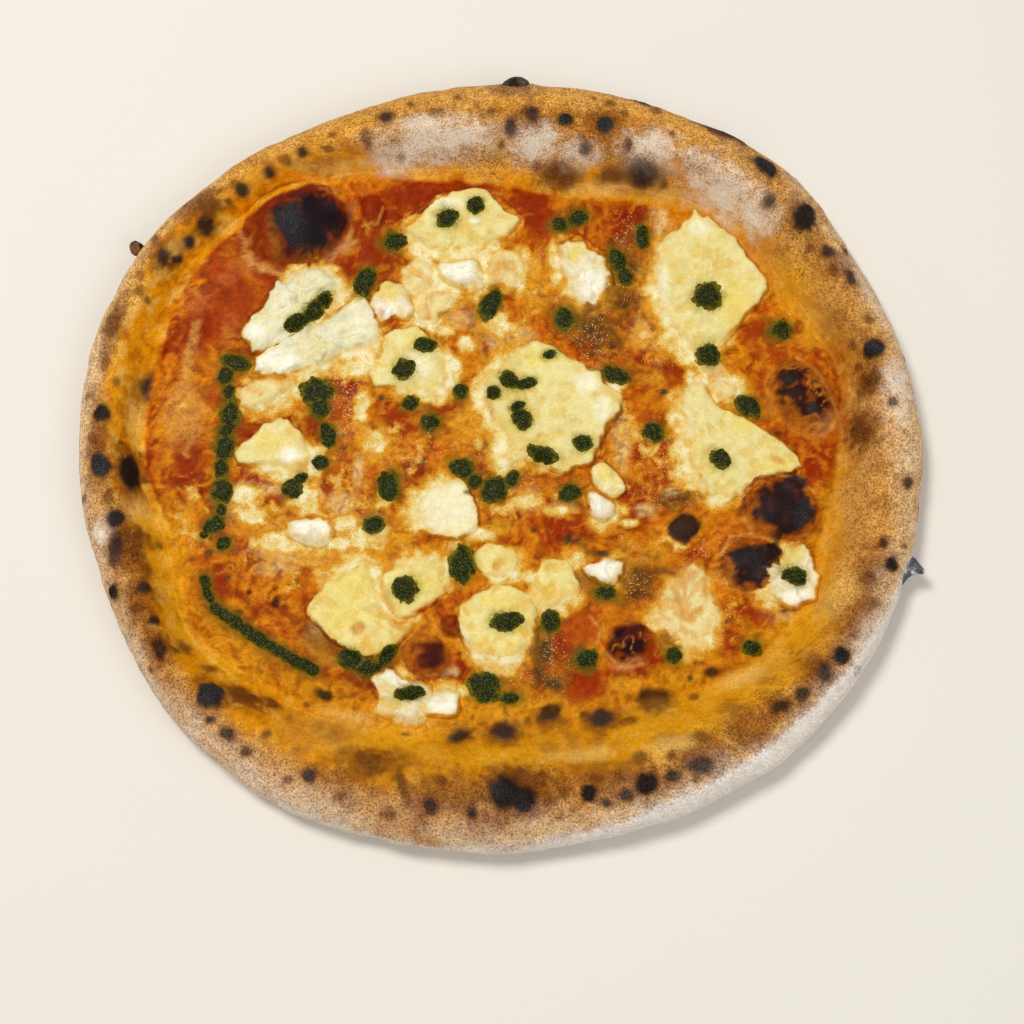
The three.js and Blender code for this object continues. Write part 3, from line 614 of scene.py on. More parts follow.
def skin_material(name):
    """What the oven makes of dough and sauce: speckled, dusted and charred as it is painted, with painted
    glints of oil and a painted bluish sheen on its char.
    """
    material, paint, shader = new_material(name)
    mottle = paint.grain(2.6, 4)
    stipple = paint.grain(0.75, 1)
    dust = paint.grain(0.52, 1, offset=0.37)
    oily, floury, char, gloss_and_painted_glints = (paint.painted(key) for key in ("oily", "floury", "char", "gloss_and_painted_glints"))
    dry = 1 - 0.55 * oily
    colour = paint.painted("tint", colour=True)
    calm = oily * (1 - gloss_and_painted_glints.between(0, 0.03))
    colour = colour.shaded(1 + (1.2 - 0.65 * calm) * (mottle - 0.5))
    colour, lift = with_froth_and_highlights(paint, colour, stipple)
    colour = with_herbs(paint, colour, stipple)
    colour = (stipple.between(0.56, 0.28) * dry * 0.72).over(colour, colour.filtered("#A87040"))
    colour = colour.shaded(1 + stipple.between(0.5, 0.72) * (1 - oily) * 0.3)
    powder = (dust + 0.6 * floury - 0.75).between(-0.1, 0.36)
    colour = (powder * floury.between(0.02, 0.3) * 0.7).over(colour, rgba("#EBDDC8"))
    # A painted bluish sheen of reflected light on the char
    painted_char_sheen = paint.grain(11, 0, offset=0.55).between(0.35, 0.75) * (0.2 + stipple.between(0.3, 0.75))
    colour = (painted_char_sheen * char * 0.36).over(colour, rgba("#434D56"))
    # Painted glints: pale specks that stand in for highlights on the oil
    painted_glint = (dust + 0.12 * gloss_and_painted_glints).between(0.69, 0.78) * mottle.between(0.4, 0.54)
    colour = (painted_glint * gloss_and_painted_glints.between(0, 0.5) * 0.7).over(colour, rgba("#FAD08C"))
    relief = mottle * 0.32 + stipple * 0.25 + dust * 0.22 + lift * 1.1
    roughness = 0.72 - 0.2 * oily - 0.22 * gloss_and_painted_glints - 0.1 * char
    dress(paint, shader, colour, roughness, 0.04, relief)
    return material


# How far the frame's middle lies from the dough's, found from the sauce's edge, which is known in both
ring = full_turn(72)
edge = around(topping_radii, ring)
edge = edge + sauce_reach * (around(outline_radii, ring) - edge)
edge = np.column_stack([edge * np.cos(ring), edge * np.sin(ring)])
sauce_box = np.array([list(corner)[:2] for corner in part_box("sauce")])
middle_shift = metre * sauce_box.mean(axis=0) - (edge.min(axis=0) + edge.max(axis=0)) / 2

angle = full_turn(sectors)
inner = around(topping_radii, angle)
outer = around(outline_radii, angle)
grid = []
for part in rows_inside:
    grid.append((inner * part, np.full(sectors, floor_thickness)))
for share in np.linspace(0, crest_share, rows_up):
    grid.append((inner + share * (outer - inner), rim_height(angle, share)))
for turn in np.linspace(0, np.pi / 2, rows_down + 1)[1:]:
    share = crest_share + (1 - crest_share) * np.sin(turn)
    grid.append((inner + share * (outer - inner), rim_height(angle, share)))
for turn in np.linspace(0, np.pi / 2, rows_under + 1)[1:]:
    height = widest_height * (1 - np.sin(turn))
    grid.append((outer - foot_inset * (1 - np.cos(turn)), np.full(sectors, height)))
for part in rows_below:
    grid.append(((outer - foot_inset) * part, np.zeros(sectors)))
grid = np.array([np.column_stack([r * np.cos(angle), r * np.sin(angle), z]) for r, z in grid])
normal = normals_of(grid).reshape(-1, 3)
points = grid.reshape(-1, 3)
share = rim_share(points[:, 0], points[:, 1])
row_number = np.repeat(np.arange(len(grid)), sectors)
top_rows = len(rows_inside) + rows_up + rows_down
below = smooth(top_rows - 2, top_rows + 3, row_number)
values, swelling = dough_paint(points, share, below)
outside = smooth(0.3, 3, points[:, 2])
swelling = (dough_lumps(points, share) + swelling * smooth(0.02, 0.2, share)) * outside
points = points + normal * swelling[:, None]
points[:, 2] = np.maximum(points[:, 2], 0)

# Burnt scraps of dough that stick out of the rim: two nubs, each with its middle, half size and turn, and a
# torn flap. Their colours, dark and pale, follow.
nubs = [([5.5, 147.5, 13.5], [5.2, 3, 3.2], 0), ([-140.6, 81.8, 10], [3, 2.4, 3.2], -40)]
flap_outline = [[146, -37], [153.5, -39.6], [157.8, -45.4], [152.5, -46.4], [147, -51]]
flap_height = 11.3
flap_half_thickness = 1.7
scrap_colours = [("#2A221C", "#4E4640"), ("#2E2018", "#7C583A"), ("#57595E", "#DDDCDD")]
scrap_roughness = 0.35
scrap_fullness = 0.7  # 1 is round, and less is boxier
scrap_columns = 40
scrap_rows = 17
pole = 0.03  # turn at which its top and underside are closed
steps_a_corner = 40


def run_through(corners, count):
    """A closed smooth line through corners, as evenly spaced points."""
    corners = np.array(corners, float)
    turns = np.linspace(0, 2 * np.pi, steps_a_corner * len(corners) + 1)
    line = np.column_stack([around(corners[:, k], turns) for k in (0, 1)])
    gone = np.concatenate([[0], np.cumsum(np.hypot(*np.diff(line, axis=0).T))])
    places = np.linspace(0, gone[-1], count + 1)[:-1]
    return np.column_stack([np.interp(places, gone, line[:, k]) for k in (0, 1)])


def scrap_grid(outline, height, half_thickness):
    """A rounded lump with an outline, from its top to its underside."""
    middle = outline.mean(axis=0)
    rows = []
    for turn in np.linspace(pole, np.pi - pole, scrap_rows):
        ring = middle + (outline - middle) * np.sin(turn) ** scrap_fullness
        level = height + half_thickness * np.cos(turn)
        rows.append(np.column_stack([ring, np.full(len(outline), level)]))
    return np.concatenate(rows)


faces = grid_faces(len(grid), sectors)
circle = full_turn(scrap_columns)
lumps = []
for centre, half, turn in nubs:
    turn = math.radians(turn)
    x, y = half[0] * np.cos(circle), half[1] * np.sin(circle)
    oval = np.column_stack([centre[0] + x * math.cos(turn) - y * math.sin(turn),
                            centre[1] + x * math.sin(turn) + y * math.cos(turn)])
    lumps.append(scrap_grid(oval, centre[2], half[2]))
lumps.append(scrap_grid(run_through(flap_outline, scrap_columns), flap_height, flap_half_thickness))
for lump, (dark, pale) in zip(lumps, scrap_colours):
    faces += [[corner + len(points) for corner in face] for face in grid_faces(scrap_rows, scrap_columns)]
    lump = lump + scrap_roughness * noise(lump, 2.5)[:, None]
    burnt = {key: np.zeros(len(lump)) for key in values}
    burnt["char"] += 0.2
    burnt["tint"] = lay(np.tile(rgb(dark), (len(lump), 1)), pale, smooth(-0.2, 0.5, noise(lump, 3)))
    points = np.vstack([points, lump])
    values = {key: np.concatenate([values[key], burnt[key]]) for key in values}
crust = add_piece("crust_dough", points, faces, values, skin_material("baked_dough"))
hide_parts("crust")

# What lies on the sauce, listed here because it colours the sauce round it. The pieces of cheese, by name:
# thickness, kind, the direction in degrees in which each has run out into the sauce (None where it kept its
# edge), and the corners of its edge.
cheeses = {
    "slice_top": (2.8, "slice", -100, [
        [-38, 91], [-31, 97], [-24, 103.5], [-9, 105.5], [-2, 101], [6.5, 95], [1, 88], [-16, 81.5],
        [-29, 82],
    ]),
    "curd_top_white": (2.6, "curd", -60, [[-25, 75], [-13, 78.5], [-8.5, 74], [-9, 68], [-18, 70]]),
    "curd_top_right": (1.8, "melt", -20, [[-6, 76], [0, 81], [7, 79], [5, 70], [-3, 70]]),
    "curd_top_left": (2, "melt", 0, [[-39, 72], [-34, 77.5], [-28, 76], [-26, 69], [-34, 65.5]]),
    "curd_net": (1.4, "melt", 60, [[-33, 60], [-27, 64.5], [-21, 63], [-25, 56], [-30, 54.5]]),
    "chunk_upper": (3.8, "curd", None, [
        [-49, 65], [-44, 69.5], [-36, 64], [-34.5, 58], [-42, 54.5], [-47, 54],
    ]),
    "slab_upper": (3.6, "slab", 30, [
        [-98, 50], [-91.5, 58.5], [-84, 69.5], [-74, 73.5], [-61, 66.5], [-68, 57.5], [-79, 50], [-92, 43],
    ]),
    "slab_lower": (3, "slab", -60, [
        [-88, 43], [-78, 48], [-66, 55.5], [-56, 63.5], [-50, 56], [-49.5, 43], [-62, 40.5], [-78, 33.5],
        [-95, 32.5],
    ]),
    "slab_foot": (1.8, "melt", -60, [[-100, 28], [-91, 29.8], [-80, 29.5], [-85, 23], [-97, 20.5]]),
    "slice_left": (2.4, "slice", -40, [
        [-49.5, 34], [-45, 41], [-43, 48], [-31, 50], [-23, 41], [-20, 31], [-28, 25.5], [-46, 28.5],
    ]),
    "chunk_tall": (3, "curd", -90, [
        [23.5, 84], [30, 86.5], [40, 78], [41, 68], [34, 60.5], [28, 64], [24.5, 75],
    ]),
    "slice_right": (3.2, "slice", 215, [
        [72, 95], [77, 97.5], [91, 83], [102, 69], [96, 59], [84, 45], [74, 39.5], [66, 50], [59, 64],
        [60, 81],
    ]),
    "slice_right_tail": (1.3, "melt", -60, [[76, 36.5], [84, 37], [88, 28], [83, 24.5], [79, 31]]),
    "slice_east": (2.8, "slice", 200, [
        [68.5, 22], [77, 29], [83, 19], [97, 11.5], [112, -1], [108, -5], [96, -8], [84, -16.5], [71, -7],
        [69.5, 9],
    ]),
    "slice_middle": (3.4, "slice", 190, [
        [-6.5, 20], [-4, 33], [7, 43.5], [20, 42], [34, 33.5], [44, 22], [37.5, 9], [34, -1], [21, -4],
        [11, 1.5], [1, -2], [-1, 9],
    ]),
    "disc_centre": (2.4, "disc", 150, [
        [-33, -22], [-26, -12], [-17, -9.5], [-11.5, -17], [-10, -26], [-20, -30.5],
    ]),
    "chunk_yellow": (4, "chunk", None, [[34.5, -6], [39, -3], [46.5, -11.5], [42, -16], [36, -12]]),
    "chunk_white": (3, "curd", -60, [[32, -15], [36.5, -14], [42, -19], [37, -23]]),
    "slice_triangle": (3.2, "slice", -60, [
        [-100, 0], [-90, 11], [-83.5, 16], [-77, 8.5], [-71, 0.5], [-76, -6], [-88, -3.5],
    ]),
    "curd_left": (2.4, "curd", -90, [[-80, -25], [-72, -23], [-64.5, -25], [-69, -32.5], [-77, -30]]),
    "disc_large": (2.8, "disc", 60, [
        [-71, -59], [-63, -48], [-52, -40.5], [-46.5, -48], [-42.5, -60], [-34, -63.5], [-43, -73],
        [-53, -74], [-64, -67],
    ]),
    "disc_fold": (2.2, "disc", 70, [
        [-45, -49], [-37, -42], [-23, -40.5], [-22, -50], [-31, -58], [-38.5, -60],
    ]),
    "disc_lower": (2.8, "disc", -70, [
        [-15.5, -60], [-6, -52], [4, -50.5], [11, -58], [10, -71], [1, -77], [-10, -74],
    ]),
    "disc_small": (1.5, "disc", -40, [[-9, -38], [-3, -34], [4, -38], [1, -45.5], [-6, -44]]),
    "disc_pale": (1.8, "disc", -90, [
        [11.5, -52], [16, -41], [24, -42], [27.5, -51], [21, -56], [14, -57.5],
    ]),
    "curd_small": (2.6, "curd", 0, [[31.5, -42], [38, -40], [45, -41], [41, -47.5], [34, -46.5]]),
    "slice_melted": (1.3, "melt", -90, [
        [56, -61], [64, -49], [72, -41], [80, -52], [78, -64], [72, -72], [63, -68],
    ]),
    "curd_edge": (4, "curd", 160, [
        [101, -44], [107, -35.5], [114, -34], [118, -45], [113, -57], [104, -57], [99, -51],
    ]),
    "curd_bubble": (3, "curd", -90, [
        [-48, -85], [-42, -81], [-35, -84.5], [-27, -88.5], [-30, -99], [-35, -101.5], [-42, -95],
    ]),
    "curd_bottom": (3.2, "curd", 90, [
        [-27.5, -95], [-23, -90.5], [-16.5, -91], [-18, -97.5], [-26, -97.5],
    ]),
}
# Drops of pesto, read off the level plane at this height: [x, y, half width, half height, turn]
middle_level = 8
pesto_drops = [
    [-21, 95, 4.8, 3.8, 20], [-10, 100, 3.4, 3.6], [-78.5, 52.5, 5.6, 3.2, 26], [-72, 57.5, 5.4, 3.2, 45],
    [-68, 62, 3.4, 2.8, 60], [-29, 44, 4.8, 2.9, 5], [-37, 34, 4.2, 4], [79, 63, 5.6, 5.6],
    [82.5, -1, 4.6, 3.4, -30], [3, 30, 4.4, 3, -40], [9.5, 28.5, 4.2, 2.2, 5], [-3, 25, 2.7, 2.7],
    [7.8, 15, 3.8, 4.6, 30], [6, 19.5, 3, 2, 20], [15.5, 1, 6, 3, -18], [31, 5, 3.8, 3.4],
    [18.5, 40, 2.8, 1.8, 20], [-35.5, -51, 5, 5], [2, -63, 6, 3.6, 5], [109.5, -46, 5, 3.6, -20],
    [-34, -90, 6, 2.6, 5], [-41.5, 86.5, 4.6, 3.8, -10], [-53, 69.5, 3.8, 6.4, -20],
    [-102, 37.5, 5.6, 2.8, -15], [-105.5, 32, 3, 4.4], [-104, 26, 2.6, 3], [-103, 17.5, 3.8, 5.8, 5],
    [-105, 10, 2.6, 3], [-105, 4, 3.4, 6, -10], [-106, -4, 2.4, 4], [-105.5, -13, 3.8, 5.4],
    [-105.5, -20, 1.8, 2.6], [-108.5, -26, 4.4, 3.2, 40], [-112, -30, 1.8, 1.4], [-104.5, -33, 3, 2.4, 30],
    [-111, -47.5, 2, 3.2, 25], [-109.5, -53, 1.6, 4.4, 28], [-70.5, 26, 6, 5], [-69, 19.5, 3.6, 4.4],
    [-66, 9, 3, 5, 10], [-79, -12, 3.6, 3.8], [-76, -8, 3, 2, 30], [-68.5, -2, 3, 3], [-42.5, -11, 4.6, 5.6],
    [-48, -26, 4, 3.4], [-34.5, 21.5, 3.2, 2.8], [-15.5, 26, 2.9, 3], [-27, 14, 3.4, 3.6],
    [-4.5, 60.5, 3.6, 6.4, -28], [22.5, 93, 3.4, 3], [29.5, 95.5, 4.2, 3, 20], [44.5, 79, 3, 5, 20],
    [47.5, 72, 2.6, 4, 25], [54.5, 88, 2.6, 5], [24, 55, 4.2, 4.2], [43.5, 32.5, 6, 3.4, -20],
    [107, 50.5, 4.4, 4.2], [94, 20, 5.4, 4, -35], [58, 10, 4, 3.8], [79, 40, 4.6, 5], [-15, -4, 5, 3.6, -20],
    [-10, -9, 3, 3], [-3, -12.5, 5, 5.4, -40], [4, -8, 2.4, 4, -30], [26, -13.5, 4.4, 3.2, 15],
    [-15, -41, 5, 7.2], [39, -52, 4.4, 2.8], [18.5, -62.5, 3.4, 4], [31, -76.5, 4.6, 3.8],
    [-6, -87, 6.4, 5.4, -10], [3.5, -91.5, 3.6, 2, 10], [64.5, -75.5, 3, 2.9], [93.5, -72.5, 3, 2.8],
    [-56, -77, 4.6, 3.6, -20], [-49.5, -80, 4.6, 3.4, 10], [-42.5, -76, 5, 2.6, 48],
]
drizzle = [[-107, -57.5], [-99, -63.5], [-90, -69.5], [-80, -75.5], [-71, -80.5]]
bead = 3.6, 2.3  # half length and half width of each bead that it is made of
for (x0, y0), (x1, y1) in itertools.pairwise(drizzle):
    turn = math.degrees(math.atan2(y1 - y0, x1 - x0))
    for t in (0.1, 0.4, 0.7, 1):
        pesto_drops.append([x0 + t * (x1 - x0), y0 + t * (y1 - y0), *bead, turn])
herb_reach = 0.9  # how far its green crumbs lie round it
# Dark crumbs of basil, and burnt flecks, too thin to stand up
crumbs = [
    [-31, -1, 2, 1.6], [-7, 5, 2, 1.8], [26, -32, 2, 2.4], [16, -73, 2.2, 3.4], [14, -82, 2, 1.6],
    [38, -37, 2, 1.4], [20, -86, 1.6, 1.4], [105, -59, 1.4, 1.4], [54, 66, 1.6, 1.6], [92, 28, 1.4, 1.2],
    [105, 10, 1.6, 1.2], [5, -15, 1.4, 1.6], [-36, 22, 1.4, 1.4], [-103, -46, 1.6, 1.6],
    [-110, -37, 1.4, 1.4], [-13, -14, 1.6, 1.2], [18, -66, 1.6, 2], [-18, -87, 1.6, 1.4],
    [83.5, -63, 1.2, 1.2], [-66, -90, 2.2, 1.6], [-71, -94, 1.6, 1.2], [48, 60, 1.4, 1.8],
    [38, 56, 1.6, 1.6], [-46, 24, 1.2, 1.2], [62, 26, 1.4, 1.2], [12, -28, 1.2, 1], [-60, 4, 1.2, 1.4],
    [66, 6, 1.2, 1.4], [70, -84, 1.4, 1.2], [30, 46, 2, 1.6], [42, 44, 2, 1.6], [33, 51, 1.6, 1.6],
]

# The sauce. Crushed tomato and grated cheese, melted together on the dough into one uneven skin, wet with
# oil. It thins to an oily film up the rim's foot, and runs over the bubbles that swell out of the dough.
sauce_thickness = 1.8
film = 0.35  # its thickness up the rim's foot
film_share = 0.06  # share of the rim's width on either side of the foot over which it thins to a film
sauce_cells = 300  # along each side of its mesh
sauce_extent = 0.2  # share of the rim's width that its mesh runs up, its last part inside the dough
sauce_foot = 2.4  # level of its underside, inside the dough
dip = 1.6  # how far its edge goes into the dough
first_level = 6.0  # level of its flat mesh, before it takes its form
foot_share = 0.98  # size of its underside, as a share of its top
# Bubbles in the dough under it: [x, y, half width, half height, turn, height]
bubbles = [
    [-80, 94, 20, 17.5, 10, 12.5], [115, 24, 15.5, 12, -58, 8.5], [106, -20, 14.5, 12.5, -20, 9],
    [93.5, -41, 11.5, 10.5, 30, 7.5], [48, -71, 9.5, 8.5, 0, 6.5], [-28, -76, 9.5, 8.5, -30, 7.5],
    [69, -26.5, 6.5, 5.8, 0, 4.6], [-50, 99, 5, 7.5, 15, 4.8], [-18.5, -64.5, 4.6, 4, -50, 4.2],
]
bubble_foot = floor_thickness + 0.5
bubble_raggedness = 0.1
dome_fullness = 0.55  # 0.5 is a half egg, and more is more pointed
# Where it lies open and red, without cheese
open_sauce = [
    [-108, 74, 11, 8, -45], [-113, 54, 9, 14, -12], [-102, 62, 9, 12], [-90, 74, 10, 6, -20],
    [-98, 86, 5, 9, -30], [-66, 74, 11, 6, 10], [-50, 84, 5, 8, 10], [-30, 105, 15, 5, 14],
    [-8, 110, 18, 4.5, -4], [12, 103, 7, 7, -30], [15, 97, 4, 9, 15], [-119, 2, 4.5, 9],
    [32, -88, 9, 7, 25],
]
# Its colours, one over the other: colour, strength, softness, raggedness and spots
melts = [
    ("#A83A06", 0.92, 0.5, 0.9, open_sauce),
    ("#8A2600", 0.85, 0.7, 1.3, [
        [-101, 84, 5, 8, -40], [-90, 74, 9, 5, -15], [-74, 71, 10, 4.5], [-60, 75, 7, 5],
        [-50, 84, 5, 9, 10], [-115, 52, 7, 11, -15], [-103, 64, 8, 9], [-33, 103, 13, 6, 12],
        [-12, 110, 18, 4.5], [10, 103, 9, 6], [13, 97, 5, 9], [-118, 0, 4.5, 9], [-104, -48, 6, 6],
        [27, -28, 10, 4.5], [18, -6, 10, 3.5], [51, -13, 7, 5], [29, -87, 9, 7, 30], [96, -60, 11, 6, 20],
        [-53, -87, 9, 6], [-38, 14, 9, 6], [-25, 20, 8, 5], [-58, 28, 6, 7], [30, -20, 9, 5],
        [-44, 76, 5, 7], [-100, 40, 5, 7], [49, 88, 5, 9, -10], [-63, 80, 5, 4], [-90, -58, 8, 4, -30],
        [85, -72, 6, 6], [66, 36, 6, 5], [-97, -34, 7, 4, 20], [-112, -60, 8, 8], [48, -22, 6, 4],
    ]),
    ("#C0660A", 0.8, 0.8, 1.3, [
        [17, 72, 7, 13], [-37, -33, 9, 10], [62, 26, 11, 8], [45, -60, 12, 5], [85, -29, 11, 6],
        [108, 40, 10, 6], [-56, -14, 8, 9], [-90, -12, 9, 5], [-18, 44, 7, 6], [60, -36, 9, 8],
        [72, -2, 5, 9], [60, -6, 9, 8], [-5, -30, 12, 4], [-112, 32, 5, 8], [8, 54, 9, 5],
        [-105, 80, 6, 4, -40], [-62, 0, 6, 10], [-55, 14, 6, 5], [20, 12, 6, 5], [-95, -45, 9, 5],
        [0, -82, 12, 5], [15, -13, 8, 4], [104, -66, 10, 6, 25], [-12, 25, 6, 4], [64, 44, 5, 6],
        [100, 46, 8, 6],
    ]),
    ("#D08A18", 0.8, 0.7, 1.3, [
        [-70, -38, 22, 8, 12], [-88, -30, 10, 8], [-50, -34, 10, 7], [8, -50, 12, 5, 10], [-22, -68, 6, 5],
        [62, 52, 6, 14], [60, 88, 4, 12], [-64, -22, 8, 6], [-12, -30, 8, 4], [22, -44, 10, 5],
        [44, 4, 4, 12],
    ]),
    ("#D08A0C", 0.9, 0.7, 1.0, [
        [0, -98, 62, 9, 0], [62, -88, 26, 7, 24], [100, -68, 18, 8, 42], [-62, -92, 26, 6, -24],
        [-96, -74, 20, 6, -45], [121, -32, 6, 24, -8], [121, 48, 5, 22, 24], [-121, -40, 5, 22, 12],
    ]),
    ("#D8951C", 0.85, 0.7, 1.3, [
        [14, 65, 5, 7], [-47, 4, 8, 7], [-11, 10, 8, 5], [-17, 13, 5, 4], [0, -27, 7, 3], [-86, 20, 7, 2.5],
        [-75, 20, 2.5, 9], [-120, 80, 6, 4, -40], [-118, -24, 4, 7], [-30, -38, 8, 3], [-38, -33, 5, 5],
        [20, -43, 4, 3], [57, -38, 6, 4], [110, 62, 5, 9, 28], [120, 46, 5, 9, 28], [60, 30, 5, 3],
        [82, 100, 12, 2, -40], [99, 80, 10, 2, -52], [110, -64, 8, 4, 20], [45, -87, 7, 3], [125, -20, 3, 7],
        [-9, 52, 1.6, 10, -6], [2, 41, 11, 1.4, 18], [-68, -74, 8, 3, -40], [-100, -78, 14, 1.5, -38],
        [-84, -90, 8, 1.5, -38], [8, 50, 3, 2.5], [-58, -32, 6, 3], [66, -8, 3, 6], [-52, 98, 1.4, 8],
        [-40, -104, 9, 5, 10], [10, -96, 20, 4, 3], [94, 6, 3, 2], [-88, -24, 7, 5],
    ]),
    ("#E0BC78", 0.85, 0.6, 1.2, [
        [-98, -17, 7, 6], [-74, -14, 6, 6], [-79, -36, 13, 4], [-62, -30, 8, 4], [-50, -26, 5, 4],
        [-85, -43, 6, 3], [-47, 6, 4, 4], [-54, -6, 1.8, 6], [-18, 54, 7, 4], [-3, 47, 4, 5], [6, 47, 6, 4],
        [54, 48, 4, 6], [9, -17, 4.5, 4.5], [22, -20, 5, 2.2], [54, -21, 4, 2.6], [78, 34, 4, 4],
        [-62, 37, 6, 3], [-84, 28, 7, 3], [-66, -64, 4, 7, -40], [22, 78, 2.5, 7], [-88, -12, 7, 3],
        [-60, -18, 5, 4], [75, 24, 4, 3], [46, 6, 3, 9], [-18, 60, 4, 3], [104, -60, 6, 3],
        [62, 92, 3, 9, 10], [66, 60, 3, 12], [64, -14, 3, 2], [28, -50, 3, 5], [-20, -82, 5, 2],
    ]),
    ("#CC7434", 0.5, 0.6, 1.0, [
        [-98, 75, 6, 4], [-117, 62, 7, 6], [-18, 63, 5, 3], [-106, 70, 4, 3], [-104, 52, 3, 6],
    ]),
    ("#CC8C40", 0.85, 0.4, 1.0, [
        [-120, 17, 7.5, 13, -4], [-119, 40, 2.2, 11, -10], [68, -46, 6, 4], [-60, 84, 5, 3, 30],
        [84, -48, 5, 1.6, -40],
    ]),
    ("#A6420A", 0.75, 0.6, 1.2, [
        [104, 40, 7, 5, -30], [118, 4, 9, 4.5, -30], [100, 28, 4, 7], [-104, 60, 7, 9],
    ]),
    ("#982C02", 0.85, 0.5, 1.3, [
        [-57, 30, 6, 6], [-90, -9, 5, 4], [-97, -34, 5, 3, 30], [-83, -45, 2.2, 2], [-73, -44.5, 2.4, 1.8],
        [-66, -47, 3, 2], [-73, -55, 1.6, 2], [-83, -64, 1.6, 1.6], [-96, -63, 3, 1.8], [-97, -53, 2.4, 1.8],
        [-67, -54, 2, 1.5], [63, -47, 4, 3], [-13, 63, 4, 3], [97, -59, 8, 4, 10], [85, -72, 4, 5],
        [-105, -47, 4, 5], [52, -15, 5, 3], [48, -22, 3, 2], [68, 37, 4, 3], [98, 50, 6, 4, 20],
        [-52, -20, 4, 4], [-26, -32, 3, 2], [14, -50, 2, 4], [30, -57, 4, 2], [-2, -48, 4, 1.4],
        [-40, -40, 2, 3], [76, 12, 2, 4], [-17.5, 41.4, 3, 2.8], [59, -7, 5, 5], [31, -88, 8, 6, 25],
        [119, -1, 5, 9, 10], [124, 34, 4, 11, 30], [97, -60, 9, 5, 15], [22, 92, 8, 6], [14, 106, 6, 4],
        [28, -28, 11, 4], [-36, 12, 8, 5], [-8, -4, 6, 4], [-62, 31, 4, 3], [-42, 20, 4, 3], [52, 2, 3, 6],
        [-117, -8, 3, 4], [-20, 87, 6, 1.4, -10],
    ]),
]
# Where grated cheese has browned on it
burnt_cheese = [
    ("#8E5812", 0.8, 0.8, 1.7, [
        [38, 50, 10, 11, 20], [46, 62, 7, 9], [52, 78, 6, 9], [15, -76, 5, 12], [52, -46, 9, 8],
        [67, -17, 8, 3.4], [-67, -71, 9, 4, -40], [18, -85, 6, 5], [24, 56, 7, 6], [30, 50, 6, 6],
        [34, -46, 8, 4], [60, -70, 5, 4],
    ]),
    ("#43260C", 0.62, 0.7, 1.8, [
        [36, 48, 6, 7], [47, 60, 4, 6], [50, 74, 3, 5], [14, -76, 3, 9], [53, -46, 5, 4], [66, -17, 5, 3],
        [30, 54, 4, 3], [44, 44, 4, 3], [50, -52, 4, 3], [16, -86, 4, 3], [27, -33, 4, 2.5],
        [35, -37.5, 4, 2], [-66, -90, 3, 2.2], [64, -20, 2.5, 2],
    ]),
]
# The dark seams round pieces of cheese, partly oil and partly painted contact shade on the sauce at their
# edges, and the tan net that melted cheese leaves as it runs: colour, strength, and lines, each with its half
# width and corners
seams_shade_and_nets = [
    ("#7A2A06", 0.7, [
        [0.5, [-40, 92], [-32, 99], [-24, 105.5], [-9, 107.5], [0, 103], [8, 96]],
        [0.5, [-34, -23], [-27, -11], [-17, -7.5], [-10, -17], [-8.5, -27]],
        [0.6, [-73, -58], [-64, -70], [-53, -76], [-42, -75]], [0.5, [-17, -61], [-12, -75], [1, -79]],
        [0.5, [-100, 49], [-93, 59], [-85, 71], [-74, 75.5], [-62, 70]],
        [0.5, [98, -50], [104, -59], [113, -59], [119, -46], [115, -33]],
        [0.5, [-50, -86], [-43, -96], [-35, -103]], [0.5, [43, 22], [46, 18], [39, 8], [36, -2]],
        [0.5, [32, -3], [37, 0], [48, -11]], [0.5, [22, 84], [30, 88.5], [42, 79], [43, 68]],
        [0.4, [-51, 65], [-44, 71.5], [-35, 66]], [0.5, [-96, 31], [-84, 31], [-74, 32]],
    ]),
    ("#C98A2C", 0.8, [
        [0.9, [-52, 62], [-44, 51], [-40, 46]], [0.8, [-29, 66], [-22, 56], [-12, 50], [2, 45]],
        [0.8, [-9, 66], [-10, 50], [-7, 38]], [0.7, [-40, 82], [-30, 79], [-14, 80], [2, 85]],
        [0.7, [-36, 54], [-30, 51], [-22, 46]], [0.9, [-45, -49], [-40, -60]],
        [0.7, [58, 62], [57, 80], [66, 94]], [0.6, [-20, 76], [-19, 68], [-24, 62]],
        [0.6, [-12, 70], [-3, 68], [6, 69]],
    ]),
]
